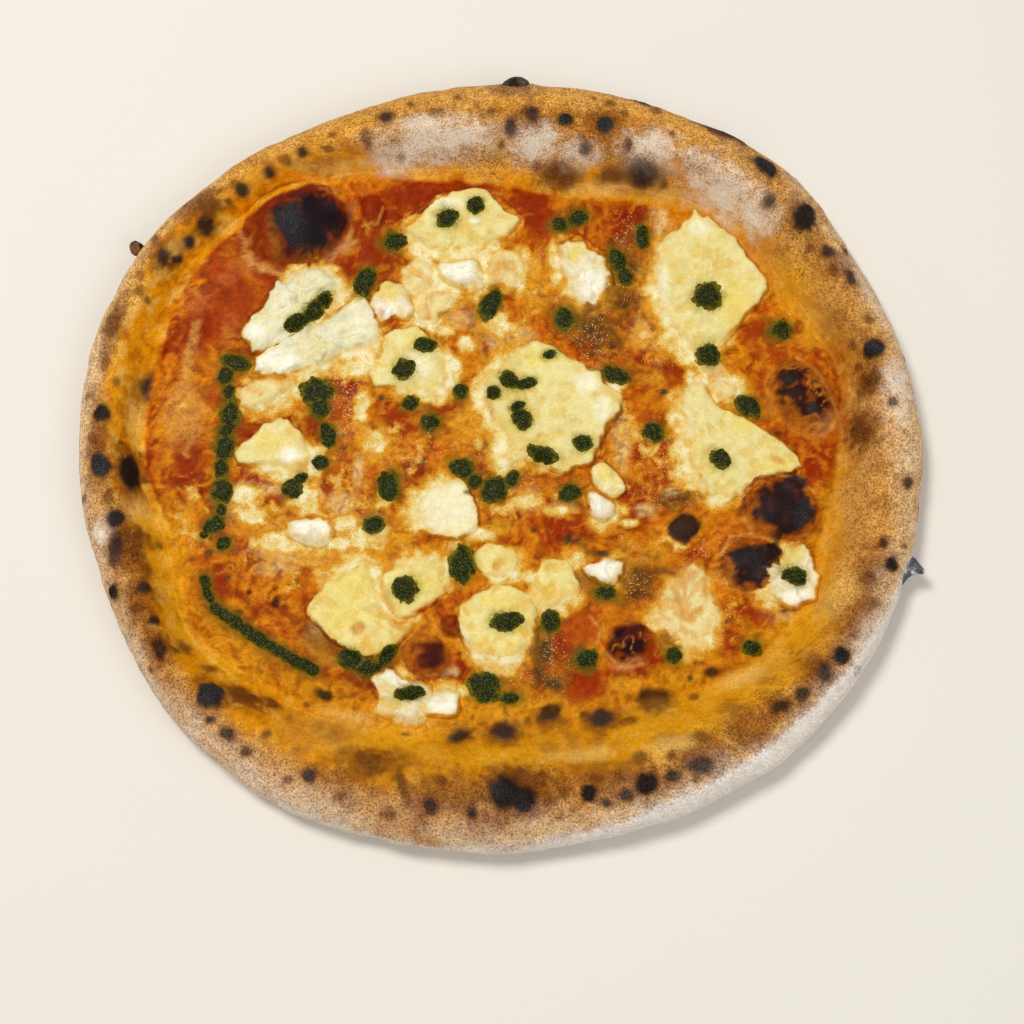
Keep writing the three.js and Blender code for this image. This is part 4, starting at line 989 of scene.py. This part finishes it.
# The skin over each bubble, laid on as the other colours are, and the pale rings round its char
bubble_spot_depth = 3  # how far down its spots reach, in half sizes
bubble_skins = [
    ("#D2984A", 0.85, 0.1, 0.5, [[-80, 94, 22, 19.4, 10]]),
    ("#CC8020", 0.8, 0.1, 0.5, [
        [115, 24, 16, 12.6, -58], [106, -20, 15.6, 13.4, -20], [93.5, -41, 12.2, 11.4, 30],
    ]),
    ("#A0400C", 0.95, 0.08, 0.4, [[-80, 94, 19.8, 17.2, 10], [48, -71, 10, 9]]),
    ("#B45E14", 0.95, 0.12, 0.5, [
        [115.5, 24.4, 14.6, 11.2, -58], [106, -19.4, 14.8, 12.6, -20], [93.5, -40.4, 11.4, 10.6, 30],
        [-28, -76, 9.6, 8.6, -30],
    ]),
    ("#7E220A", 0.9, 0.35, 0.9, [
        [-90, 97, 8, 12, -8], [-82, 106, 13, 5, 10], [-64, 97, 6, 8, 10], [47, -70, 7, 6],
    ]),
    ("#6E2C0C", 0.85, 0.4, 1.6, [
        [106, -19, 12.6, 10.8, -20], [94.5, -40, 9.6, 9, 30], [-27.5, -75.5, 6.4, 5.8, -30],
        [112, 30, 8, 6, -58], [119, 20, 5, 5],
    ]),
    ("#C27420", 0.7, 0.5, 1.3, [
        [-72, 82, 9, 3, 25], [-88, 88, 2.6, 8, 12], [108, 33, 5, 4], [120, 30, 3, 4], [104, 22, 4, 5],
        [98, -30, 4, 2], [86, -44, 2, 4], [-36, -76, 2, 6], [-30, -69, 6, 2], [40, -68, 2, 5],
        [48, -63.5, 6, 1.6],
    ]),
    ("#CC8450", 0.7, 0.4, 0.8, [[123, 13, 5, 3, 40], [47, -79, 6, 2.2, 10], [-63, 82, 6, 1.6, 30]]),
    ("#3E1716", 0.9, 0.45, 1.1, [
        [-63, 95, 5, 4.5], [-82, 110, 5, 1.6, 5], [-26, -76, 4.8, 4.4], [47, -70, 6, 5], [-77, 93, 13, 14],
        [51, -66, 4, 3], [42, -72, 3, 3],
    ]),
    ("#8A2406", 0.9, 0.15, 0.5, [[-50, 99, 4.6, 7.4, 15]]),
    ("#761C08", 0.8, 0.3, 0.6, [[-18.5, -64.5, 4.6, 4, -50]]),
    ("#B04A0C", 0.8, 0.4, 0.8, [[29, -66, 7.5, 7]]),
    ("#D89018", 0.6, 0.6, 1, [[69, -26.5, 8, 7]]),
]
bubble_rings = [
    ("#D0903E", 0.8, [
        [0.7, [113, 39], [120, 34], [124, 26], [127, 18], [125, 12]], [0.6, [115, 10], [119, 13], [123, 12]],
        [0.6, [91, -24], [95, -31], [105, -33], [115, -30]],
        [0.6, [93, -12], [101, -7], [110, -8], [118, -14]], [0.6, [84, -48], [93, -52], [100, -49]],
        [0.6, [82, -38], [86, -31], [94, -30]], [0.5, [39, -75], [44, -80], [52, -79]],
        [0.5, [33, -61], [37, -66], [36, -71]], [0.5, [-37, -78], [-33, -84], [-24, -83]],
        [0.5, [-54, 92], [-48, 93], [-46, 99]],
    ]),
]
# Where the skin has crackled and charred, where it is scorched, and where painted glints of oil lie on it
crackled_skin = [[114.5, 27, 12, 8, -58], [47, -70, 6.4, 5.6]]
charred = [
    [-75, 94, 12, 10.6], [106.5, -20, 11.4, 9.4, -10], [94.5, -41, 8.6, 8], [102, -36, 3.6, 3],
    [69, -26.5, 5.2, 6], [111, -10, 4.6, 3.4], [118, 19, 2, 2], [110, 30, 3, 2, 30],
]
scorched = [
    [18, -97, 5.5, 3.4, 18], [37, -99, 4, 4], [56, -92, 6, 4.2], [0.8, -104, 4.3, 3.6],
    [-15, -106, 4, 2.6, 15], [31, -98, 2, 1.6], [-45, -96, 2, 1.8], [-64, -91, 2.4, 2.2], [71, -91, 2, 1.4],
    [78, -82, 3, 2], [-30, -108, 2, 1.4], [-52, -104, 2, 1.4], [10, -100, 1.6, 1.2], [-98, -60, 2, 1.6],
    [45, -77, 1.2, 1], [-84, -56, 1.6, 2], [-77, -48, 1.2, 1.2], [-94, -52, 1.4, 1.2], [-70, -56, 1.2, 1.6],
]
painted_glint_places = [
    [36, 49, 12, 14], [51, 67, 8, 12], [17, -78, 7, 14], [51, -46, 9, 11], [67, -17, 10, 7], [51, -9, 10, 8],
    [-57, 30, 8, 10], [-12, 0, 10, 6], [-30, -42, 8, 6], [-56, -30, 9, 9], [60, 45, 8, 14], [48, 90, 7, 8],
    [-36, 4, 10, 8], [58, 0, 12, 12], [80, -36, 12, 6], [-60, 16, 6, 14], [5, -82, 9, 6], [83, -63, 7, 6],
    [-90, -10, 7, 6], [12, -10, 14, 6], [18, 70, 6, 12], [-90, -30, 12, 8],
]
# Where grated cheese has turned to froth
froth = [
    [-22, 70, 17, 12, 10], [-3, 76, 10, 8], [-34, 62, 7, 9], [-14, 82, 15, 4, -6], [-50, 46, 6, 8],
    [-28, 53, 13, 4, -20], [63, 60, 6, 16], [22, 76, 4, 10], [-2, 51, 7, 4], [-54, 36, 8, 5],
    [-88, 26, 12, 5], [-62, -33, 7, 3], [75, 30, 6, 6], [-96, -16, 6, 5], [-74, -17, 6, 6], [-47, 5, 5, 5],
    [9, -17, 5, 4], [22, -21, 5, 2.4], [54, 47, 4, 5], [64, -50, 5, 4], [44, 26, 4, 6],
    [-36, -82, 4, 3, -20], [0, 52, 2.4, 8, -8], [-84, -33, 9, 4], [-58, -26, 5, 4], [-53, 19, 3, 7],
    [-94, -22, 6, 5], [-50, -31, 8, 5], [-44, -14, 3, 8], [-52, -52, 4, 3], [-8, -30, 8, 3], [6, -46, 8, 3],
    [-14, 44, 4, 4], [48, -26, 4, 2], [28, -40, 6, 6], [24, -52, 4, 8],
]
# Where its fat has only veined the sauce
nets = [
    [-70, -38, 30, 13, 12], [-92, -20, 14, 9], [-56, -12, 12, 12], [-40, 6, 14, 12], [-12, 8, 9, 10],
    [8, -18, 18, 6], [-16, -36, 14, 7], [20, -48, 10, 10], [52, 52, 10, 12], [52, 0, 10, 20],
    [60, -34, 12, 8], [10, 60, 10, 14], [-84, 20, 14, 7], [-119, 18, 8, 14], [-62, 36, 10, 8],
    [-118, -30, 8, 20], [76, -62, 16, 10, 30], [112, 62, 6, 14, 25], [-20, 54, 12, 8], [70, 100, 10, 4, -40],
    [-116, 84, 12, 5, 50],
]


def sauce_level(x, y, wobble=0):
    """Height of the sauce's even skin, where a bubble lifts it too."""
    share = rim_share(x, y)
    thickness = film + (sauce_thickness - film) * smooth(film_share, -film_share, share)
    level = rim_height(np.arctan2(y, x), share) + thickness
    for bubble_x, bubble_y, half_x, half_y, turn, tall in bubbles:
        away = np.hypot(*in_oval(x - bubble_x, y - bubble_y, half_x, half_y, turn))
        away = away + bubble_raggedness * wobble
        dome = bubble_foot + tall * np.clip(1 - away**2, 0, 1) ** dome_fullness
        level = np.maximum(level, np.where(away < 1, dome, 0))
    return level


on_sauce = (middle_level, sauce_level)


def depth_inside(points, outline):
    """How far each point is from an outline."""
    best = np.full(len(points), np.inf)
    for start, step in zip(outline, np.roll(outline, -1, axis=0) - outline):
        t = np.clip((points - start) @ step / (step @ step), 0, 1)
        best = np.minimum(best, np.hypot(*(points - start - t[:, None] * step).T))
    return best


def run_out(points, middle, melted):
    """How far the cheese has run out at each point, from its middle towards its melted side."""
    if melted is None:
        return np.zeros(len(points))
    turn = math.radians(melted)
    spokes = points - middle
    reach = np.maximum(np.hypot(*spokes.T), 1e-6)
    return smooth(-0.35, 0.75, (spokes @ [math.cos(turn), math.sin(turn)]) / reach)


def level_with_drops(x, y):
    """The level plane that the drops of pesto are set out on, whatever carries them."""
    return middle_level


on_drops = (middle_level, level_with_drops)
any_depth = 6  # how far down a drop's colours reach, in half sizes


def round_drops(points, reach, wobble):
    """How far the drops of pesto, and what lies within reach of them, cover each point."""
    wide = [[x, y, half_x + reach, half_y + reach, *turn] for x, y, half_x, half_y, *turn in pesto_drops]
    return cover(points, wide, on_drops, wobble, 0.4, any_depth)


def pesto_stain(points, tint, wobble, colour, reach):
    """Paints the oil round each drop of pesto, and the dark crumbs."""
    tint = lay(tint, colour, 0.6 * round_drops(points, reach, 0.8 * wobble))
    return lay(tint, "#33301A", 0.85 * cover(points, crumbs, on_drops, 1.6 * wobble, 0.6, any_depth))


def squares_of(shape):
    """The squares between a flat grid's points, as their numbers."""
    numbers = np.arange(math.prod(shape)).reshape(shape)
    corners = [numbers[:-1, :-1], numbers[1:, :-1], numbers[1:, 1:], numbers[:-1, 1:]]
    return np.stack(corners, axis=-1).reshape(-1, 4)


# Its mesh is a square grid bent into a round, so that its cells are much alike
side = np.linspace(-1, 1, sauce_cells + 1)
x, y = np.meshgrid(side, side, indexing="ij")
wide = np.abs(x) > np.abs(y)
large = np.where(wide, x, y)
ratio = np.where(wide, y, x) / np.where(large == 0, 1, large)
turn_round = np.where(wide, np.pi / 4 * ratio, np.pi / 2 - np.pi / 4 * ratio)
x = (large * np.cos(turn_round)).ravel()
y = (large * np.sin(turn_round)).ravel()
turn_round = np.arctan2(y, x)
inner = around(topping_radii, turn_round)
edge = inner + sauce_extent * (around(outline_radii, turn_round) - inner)
points = np.column_stack([x * edge, y * edge, np.full(len(x), first_level)])
share = rim_share(points[:, 0], points[:, 1])
wobble = 0.3 * noise(points, 3) + 0.14 * noise(points, 8)
points[:, 2] = sauce_level(points[:, 0], points[:, 1], wobble)
shore = 0.13 + 0.02 * noise(points, 9)  # where up the rim it starts to dip into the dough
points[:, 2] += dough_lumps(points, share) - dip * smooth(shore, sauce_extent, share)

# Where the cheese has run out over it, and how frothy it is there
froth_reach = 12
outline_points = 60
flat = points[:, :2]
spread = np.zeros(len(points))
for _, _, melted, corners in cheeses.values():
    outline = run_through(corners, outline_points)
    middle = outline.mean(axis=0)
    reach = np.hypot(*(outline - middle).T).max() + froth_reach
    near = np.flatnonzero(np.hypot(*(flat - middle).T) < reach)
    gone = run_out(flat[near], middle, melted)
    away = depth_inside(flat[near], outline) + 6 * wobble[near]
    spread[near] = np.maximum(spread[near], smooth(2.5 + 8 * gone, 0, away) * (0.5 + 0.5 * gone))
frothy = np.maximum(cover(points, froth, on_sauce, 1.2 * wobble, 0.6), spread)

# Its colours: the melted topping's, and the dough's over them where it thins out up the rim
none = np.zeros(len(points))
swirl = points + 3.5 * np.column_stack([noise(points + 40, 7), noise(points + 80, 7), none])
wobble = 0.3 * noise(swirl, 3) + 0.16 * noise(points, 8)
cloud = noise(points, 17, 3)
patchy = noise(swirl, 5.5, 3)
fleck = noise(swirl, 2.0)
tint = np.tile(rgb("#B65204"), (len(points), 1))
tint = lay(tint, "#8E2800", 0.95 * smooth(0.0, 0.6, cloud + 0.6 * patchy))
tint = lay(tint, "#DA8A0C", 0.7 * smooth(0.15, 0.75, -cloud + 0.7 * patchy))
tint = lay(tint, "#8A2A00", 0.75 * smooth(0.1, 0.6, 0.7 * patchy + 0.6 * fleck))
tint = lay(tint, "#E89A18", 0.6 * smooth(0.2, 0.65, -0.7 * patchy + 0.6 * fleck))
tint = lay_spots(tint, points, melts, on_sauce, wobble)
red = cover(points, open_sauce, on_sauce, wobble, 0.6)
tint = lay(tint, "#862800", 0.5 * smooth(0.15, 0.6, fleck + 0.4 * patchy))
tint = lay(tint, "#E89A18", 0.35 * smooth(-0.2, -0.6, fleck + 0.4 * patchy) * (1 - red))
tint = lay(tint, "#DC9A22", 0.8 * smooth(0.15, 0.6, frothy))
tint = lay_spots(tint, points, burnt_cheese, on_sauce, wobble)
# Dark seams round the cheese, partly painted contact shade, and tan nets
for colour, strength, lines in seams_shade_and_nets:
    tint = lay(tint, colour, strength * trace(points, lines, on_sauce, 1.5 * wobble))
on_bubble = smooth(0.3, 2, points[:, 2] - floor_thickness - sauce_thickness) * smooth(0, -0.05, share)
tint = lay_spots(tint, points, bubble_skins, on_sauce, wobble, bubble_spot_depth)
for colour, strength, lines in bubble_rings:
    tint = lay(tint, colour, strength * trace(points, lines, on_sauce, wobble))
crackled = cover(points, crackled_skin, on_sauce, 0.8 * wobble, 0.3, bubble_spot_depth)
tint = lay(tint, "#261012", 0.95 * crackled * smooth(-0.4, -0.05, noise(points, 4.5, 3)))
tint = lay(tint, "#C0701C", 0.8 * crackled * smooth(0.12, 0.03, np.abs(noise(points + 60, 6))))
char = cover(points, charred, on_sauce, 0.8 * wobble, 0.2, bubble_spot_depth)
tint = lay(tint, "#1B1719", 0.95 * char)
scorch = cover(points, scorched, on_sauce, 0.7 * wobble, 0.4, bubble_spot_depth)
tint = lay(tint, "#2C140C", 0.92 * scorch)
tint = lay(tint, "#5E2410", 0.35 * char * smooth(0.45, 0.85, patchy + 0.6 * fleck))
# How thickly painted glints lie on it, which also makes it glossier
gloss_and_painted_glints = 0.1 + 0.9 * cover(points, painted_glint_places, on_sauce, 1.5 * wobble, 0.8)
gloss_and_painted_glints = gloss_and_painted_glints * (0.35 + 0.65 * smooth(-0.5, 0.5, patchy)) * (1 - char)
tint = pesto_stain(points, tint, wobble, "#7A5E0C", 2)
values, _ = dough_paint(points, share, none)
on_dough = smooth(-0.03, 0.09, share + 0.05 * noise(points, 9, 3) + 0.03 * wobble)
netted = cover(points, nets, on_sauce, 1.4 * wobble, 0.8)
browned = cover(points, [spot for *_, spots in burnt_cheese for spot in spots], on_sauce, wobble, 0.6)
creamy = np.maximum(frothy, netted * (0.5 + 0.3 * patchy)) * (1 - char) * (1 - on_bubble) * (1 - browned)
topping = {"tint": tint, "oily": none + 1, "floury": none, "char": char, "gloss_and_painted_glints": gloss_and_painted_glints,
           "creamy": creamy, "herbs": round_drops(points, herb_reach, 0.4 * wobble)}
values["creamy"] = values["herbs"] = none
for key, value in topping.items():
    mix = on_dough if value.ndim == 1 else on_dough[:, None]
    values[key] = value * (1 - mix) + values[key] * mix
# Its fine form: gentle lumps, and crags where it is frothy
lumps = 0.3 * noise(points, 11) + 0.28 * noise(points, 4) + 0.15 * noise(points, 1.9)
crags = 0.6 * np.abs(noise(points, 6)) + 0.3 * noise(points, 2.4)
points[:, 2] += (1 - on_dough) * (lumps + 1.1 * frothy * crags) * (1 - 0.6 * on_bubble)

# Its faces, and its underside, closed by a skirt round its edge
sauce_faces = squares_of(wide.shape).tolist()
numbers = np.arange(len(points)).reshape(wide.shape)
border = [*numbers[:, 0], *numbers[-1, 1:], *numbers[-2::-1, -1], *numbers[0, -2:0:-1]]
sauce_tree = BVHTree.FromPolygons(points.tolist(), sauce_faces)
sauce_places = KDTree(len(points))
for number, place in enumerate(points.tolist()):
    sauce_places.insert((place[0], place[1], 0), number)
sauce_places.balance()
sauce_values = values
foot = [len(points) + k for k in range(len(border))]
sauce_faces += [[border[k - 1], border[k], foot[k], foot[k - 1]] for k in range(len(border))]
sauce_faces.append(foot)
points = np.vstack([points, points[border] * [foot_share, foot_share, 0] + [0, 0, sauce_foot]])
values = {key: np.concatenate([value, value[border]]) for key, value in values.items()}
sauce = add_piece("melted_sauce", points, sauce_faces, values, skin_material("melted_sauce"))
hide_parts("sauce")

# The cheese. Slices of soft cheese that have slumped and spread, their edges thin and soaked with oil, and
# crumbs of whiter fresh cheese that have kept their craggy shape. Each lies on the sauce.
cheese_sink = 1.2  # how far its root goes into the sauce
cheese_lift = 0.06  # how far it stays clear of the sauce where it is thinnest
edge_dip = 0.35  # how far its very edge goes into the sauce
least_height = 0.5  # thickness of its run-out parts
full_crags = 2.4  # thickness from which its crags are whole
full_raggedness = 10  # half size from which its outline is as ragged as its kind says
cheese_step = 0.8  # size of its mesh's cells
crisp_edge = 1.5  # width of the edge where it kept its shape
melted_edge = 7  # and where it has run out
drop_height = 60  # level from which it is let down onto what lies below
sauce_underneath = 5.4  # level taken where nothing is found below
# Kind: colour, colour of its hollows (painted shade low between its crags, and random patches), raggedness
# of its outline, crags, how far it has run all round, and how far it has spread past the corners of its edge
cheese_kinds = {
    "slice": ("#E7D890", "#E0C268", 1.6, 0.5, 0.1, 1.6),
    "slab": ("#E6E2BC", "#E4D8A0", 2.6, 1.2, 0.25, 2.2),
    "disc": ("#E9D88A", "#E0B850", 0.9, 0.4, 0.2, 2.2),
    "chunk": ("#F1E4A8", "#E6D07C", 1.2, 1.2, 0.15, 1.2),
    "melt": ("#E8D490", "#DCAA58", 2.2, 1.2, 0.75, 2.4),
    "curd": ("#EADFB8", "#E2C678", 2.0, 1.1, 0.3, 1.6),
}
# Marks on it, from the whitest to the most browned, laid on as the sauce's colours are
mark_depth = 4  # how far down they reach, in half sizes
cheese_marks = [
    # The whitest: the curds' own white, partly painted highlight
    ("#FFFCEE", 0.75, 0.7, 1.7, [
        [-17, 73, 7, 4], [-43, 56.5, 5.5, 3.5, 20], [-92, 36, 9, 3.4, 8], [-82, 36, 7, 3.4, 20],
        [35, 66, 6, 6], [-11, 93, 1.8, 1.3], [110, -53, 5, 4], [116, -42, 2, 6], [-36, -84, 7, 3],
        [-20, -94, 6, 3], [37, -20, 5, 4], [38, -44, 6, 3], [-71, -27, 5, 3], [-80, 0, 4, 3],
        [-57, 58, 3, 2], [-94, 48, 3, 3],
    ]),
    ("#F4EDCA", 0.8, 0.7, 1.3, [
        [-32, 35, 5, 4], [32, 28, 4, 4], [38, 18, 3, 5], [-56, 50, 4, 4], [-84, 58, 6, 3, 40],
        [76, 90, 4, 3], [62, 66, 2, 8], [-20, 100, 6, 2], [70, 12, 2, 6], [-86, 9, 3, 3], [-16, -70, 3, 4],
        [-21, -20, 12, 11],
    ]),
    ("#EAD06A", 0.75, 0.6, 1.3, [
        [-42, 64, 6, 4], [108, -37, 5, 4], [29, 80, 4, 3.4], [104, -4, 6, 3, -20], [40, -7, 4, 4],
        [-88, 6, 6, 5], [-55, -50, 8, 6], [92, 13, 6, 4, -40], [-30, 46, 6, 3], [88, 60, 6, 8],
        [-60, 60, 5, 4], [-60, -62, 6, 4], [0, -56, 6, 3], [-30, -50, 5, 4], [14, 38, 8, 3],
    ]),
    ("#CF8E2E", 0.75, 0.6, 1.3, [
        [-4, 14, 1.4, 6], [-46, -46, 1.4, 7, 25], [-36, -66, 5, 1.6, -20], [-53, -66, 2.6, 2.6],
        [-2, -42, 1.8, 1.8], [104, -2, 3, 1.4, -30], [41, 8, 1.6, 6], [-46, 50, 1.2, 6],
        [-28, -58, 6, 1.4, 30], [-60, -44, 5, 2, 30], [-14, -54, 3, 2], [75, 40, 4, 2], [-74, -4, 4, 2],
        [-42, -56, 1.4, 5, 25], [68, -46, 5, 3], [66, -56, 1.2, 5, 20], [72, -60, 4, 1, 40], [76, -50, 1, 6],
    ]),
]
craters = [[-53, -66, 2.2], [-2, -42, 1.4]]  # x, y, radius
crater_depth = 1.1


def cheese_material():
    """Pale, soft cheese that lets the sauce through where it has thinned out."""
    material, paint, shader = new_material("soft_cheese")
    mottle = paint.grain(3.2, 3)
    fine = paint.grain(1.0, 1)
    colour = paint.painted("tint", colour=True)
    colour = colour.shaded(0.74 + 0.28 * mottle + 0.24 * fine)
    # Painted highlights: pale specks on its fine grain
    colour = (fine.between(0.6, 0.8) * 0.25).over(colour, rgba("#FFF8DC"))
    sauce = paint.painted("under", colour=True).shaded(0.4 + 1.2 * mottle)
    sauce, lift = with_froth_and_highlights(paint, sauce, fine)
    ragged = 1.1 * paint.grain(2.6, 3, offset=0.4) + 0.24 * fine - 0.67
    gone = (paint.painted("oily") + ragged).between(0.36, 0.7)
    colour = with_herbs(paint, gone.over(colour, sauce), fine)
    relief = mottle * 0.5 + fine * 0.35 + gone * lift - 0.4 * gone
    dress(paint, shader, colour, 0.5, 0.15, relief, strength=0.4)
    return material


def fall_onto(tree, places):
    """Height of what a piece dropped at each place would land on."""
    found = [tree.ray_cast((x, y, drop_height), (0, 0, -1))[0] for x, y in places]
    return np.array([sauce_underneath if hit is None else hit.z for hit in found])


shapes = {}
for name, (rise, kind, melted, corners) in cheeses.items():
    colour, hollow_shade_colour, ragged, crags, spent, spread = cheese_kinds[kind]
    sides = np.diff(np.array(corners + corners[:1], float), axis=0)
    columns = int(np.hypot(*sides.T).sum() / cheese_step)
    outline = run_through(corners, columns)
    middle = outline.mean(axis=0)
    flat = np.column_stack([outline, np.zeros(columns)])
    spokes = outline - middle
    reach = np.hypot(*spokes.T)
    push = ragged * min(1, reach.mean() / full_raggedness) * (noise(flat, 5.5) + 0.5 * noise(flat, 2.2))
    push = push + spread + 0.8 * run_out(outline, middle, melted)
    outline = middle + spokes * (1 + push / reach)[:, None]
    rows = max(5, int(reach.mean() / cheese_step))
    shares = np.linspace(0.04, 1, rows)
    place = np.concatenate([middle + share * (outline - middle) for share in shares])
    base = fall_onto(sauce_tree, place)
    inside = depth_inside(place, outline)
    gone = np.maximum(run_out(place, middle, melted), spent)
    width = np.minimum(crisp_edge + (melted_edge - crisp_edge) * gone, 0.6 * inside.max())
    level = np.clip(inside / width, 0, 1)
    slope = (1 - gone) * np.sqrt(1 - (1 - level) ** 2) + gone * smooth(0, 1, level) * 0.9
    points = np.column_stack([place, base])
    bumps = crags * (noise(points, 3.2) + 0.5 * np.abs(noise(points, 1.7))) * (1 + 0.8 * gone)
    bumps = bumps + 0.35 * noise(points, 9)
    height = rise * slope * 0.92 + bumps * level * min(1, rise / full_crags)
    points[:, 2] += np.maximum(height, least_height * level) + cheese_lift - edge_dip * (inside < 0.05)
    for x, y, size in craters:
        away = np.hypot(place[:, 0] - x, place[:, 1] - y)
        points[:, 2] -= crater_depth * smooth(size * 1.2, size * 0.5, away)
    patchy = noise(points, 6, 3)
    tint = np.tile(rgb(colour), (len(points), 1))
    # Darker in its hollows: painted shade low between its crags, and random darker patches
    hollow_shade_and_patches = 0.5 * smooth(0.1, 0.9, patchy + 0.4 * gone) + 0.8 * smooth(0.15, -0.5, bumps / crags)
    tint = lay(tint, hollow_shade_colour, hollow_shade_and_patches)
    wobble = 0.3 * noise(points, 2.6) + 0.15 * noise(points, 7)
    tint = lay_spots(tint, points, cheese_marks, on_sauce, wobble, mark_depth)
    soaked = smooth(width, 0, inside + 1.5 * wobble * gone)
    tint = lay(tint, "#E2B858", 0.6 * soaked)
    tint = pesto_stain(points, tint, wobble, "#B0A23A", 1.1)
    skirt = np.column_stack([outline, base[-columns:] - cheese_sink])
    nearest = [sauce_places.find((x, y, 0))[1] for x, y in place]  # the sauce's point below
    painted = {"tint": tint, "oily": soaked, "under": sauce_values["tint"][nearest],
               "creamy": sauce_values["creamy"][nearest],
               "herbs": round_drops(points, herb_reach, 0.4 * wobble)}
    painted = {key: np.concatenate([value, value[-columns:]]) for key, value in painted.items()}
    shapes[name] = np.vstack([points, skirt]), grid_faces(rows + 1, columns), painted

soft_cheese = cheese_material()
for name, (points, faces, values) in shapes.items():
    cheese = add_piece(name + "_cheese", points, faces, values, soft_cheese)
    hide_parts(name)

# The pesto. Basil pounded in oil, dropped from a spoon in beads and short trails: almost black, grainy and
# wet, with a thin olive edge where the oil runs out of it.
pesto_step = 0.55  # size of its mesh's cells
pesto_height = 0.95
pesto_field = (-125, 125), (-105, 112)  # where its drops lie, across and up
pesto_hem = -0.12  # how far past its outline its mesh goes, down into what carries it
ragged_from = -0.6  # how far past its outline that is raggedly drawn


def pesto_material():
    """Dark, gritty green with beads of herb that carry painted glints, olive where it is thin."""
    material, paint, shader = new_material("wet_pesto")
    grit = paint.grain(1.1, 2)
    beads = paint.grain(0.55, 1.5)
    deep = paint.painted("deep")
    colour = deep.over(rgba("#75680E"), rgba("#252A0B"))
    colour = (grit.between(0.5, 0.7) * 0.5).over(colour, rgba("#454A16"))
    colour = (beads.between(0.52, 0.38) * 0.7).over(colour, rgba("#0B1005"))
    # Painted glints: pale green-grey specks on the beads
    colour = (beads.between(0.56, 0.72) * (0.25 + 0.3 * deep)).over(colour, rgba("#747A2C"))
    relief = grit * 0.4 + beads * 0.6
    dress(paint, shader, colour, 0.42, 0.06, relief, depth=0.5)
    return material


lower = [sauce_tree]
for points, faces, _ in shapes.values():
    lower.append(BVHTree.FromPolygons(points.tolist(), faces[:-1]))
x, y = np.meshgrid(*(np.arange(*ends, pesto_step) for ends in pesto_field), indexing="ij")
flat = np.column_stack([x.ravel(), y.ravel(), np.zeros(x.size)])
ragged = 0.2 * noise(flat, 2.8) + 0.11 * noise(flat, 1.2)
# How far inside the drops each place is: 1 in the middle of one, 0 at its outline
fill = np.full(x.size, -1.0)
for drop_x, drop_y, *oval in pesto_drops:
    fill = np.maximum(fill, 1 - np.hypot(*in_oval(flat[:, 0] - drop_x, flat[:, 1] - drop_y, *oval)))
fill = np.where(fill > ragged_from, fill + ragged, -1)
quads = squares_of(x.shape)
quads = quads[fill[quads].max(axis=1) > pesto_hem]
used, quads = np.unique(quads, return_inverse=True)
quads = quads.reshape(-1, 4)
place = flat[used]
fill = fill[used]
base = np.max([fall_onto(tree, place[:, :2]) for tree in lower], axis=0)
rise = pesto_height * np.sqrt(np.clip(fill * 2.2, 0, 1)) + 3 * np.minimum(fill, 0)
grit = 0.1 * noise(place, 1.1) + 0.14 * noise(place, 2.4)
points = np.column_stack([place[:, :2], base + rise + grit * (fill > 0)])
thick = smooth(0.0, 0.3, fill + 0.15 * noise(place, 2))
pesto = add_piece("pesto_drops", points, quads.tolist(), {"deep": thick}, pesto_material())

# The floor, the lights and the camera. A plain pale floor, a soft light from behind on the left, a weaker one
# from the right in front, and the camera at the eye that the spots were read from.
floor_material, paint, shader = new_material("pale_floor")
feed(paint, shader, Base_Color=rgba("#E9E4DA"), Roughness=0.8)
floor_half_size = 6
mesh = bpy.data.meshes.new("floor")
corners = [(-1, -1), (1, -1), (1, 1), (-1, 1)]
mesh.from_pydata([(x * floor_half_size, y * floor_half_size, 0) for x, y in corners], [], [(0, 1, 2, 3)])
mesh.materials.append(floor_material)
floor = bpy.data.objects.new("floor", mesh)
bpy.context.scene.collection.objects.link(floor)


def point_at(thing, place, towards):
    """Puts a light or the camera at a place, looking towards another."""
    thing.location = place
    look = Vector(towards) - Vector(place)
    thing.rotation_euler = look.to_track_quat("-Z", "Y").to_euler()
    bpy.context.scene.collection.objects.link(thing)


def area_light(name, place, size, power, colour):
    """A round soft light at a place, pointed at the pizza, with its size in metres and power in watts."""
    light = bpy.data.lights.new(name, "AREA")
    light.shape = "DISK"
    light.size = size
    light.energy = power
    light.color = colour
    point_at(bpy.data.objects.new(name, light), place, (0, 0, 0))


area_light("key", (-0.6, 0.5, 1.75), 0.6, 22.5, (1, 0.98, 0.95))
area_light("fill", (1.0, -0.9, 1.4), 1.4, 9, (0.95, 0.97, 1))
world = bpy.data.worlds.new("studio")
world.use_nodes = True
background = world.node_tree.nodes["Background"]
background.inputs["Color"].default_value = (1, 1, 1, 1)
background.inputs["Strength"].default_value = 0.38
bpy.context.scene.world = world
bpy.context.scene.view_settings.view_transform = "Standard"

camera_data = bpy.data.cameras.new("camera")
camera_data.lens = camera_data.sensor_width / 2 / math.tan(view_half_angle)
camera_data.clip_end = 20
camera = bpy.data.objects.new("camera", camera_data)
shift = np.array([*middle_shift, 0])
point_at(camera, (eye + shift) / metre, (aim + shift) / metre)
bpy.context.scene.camera = camera
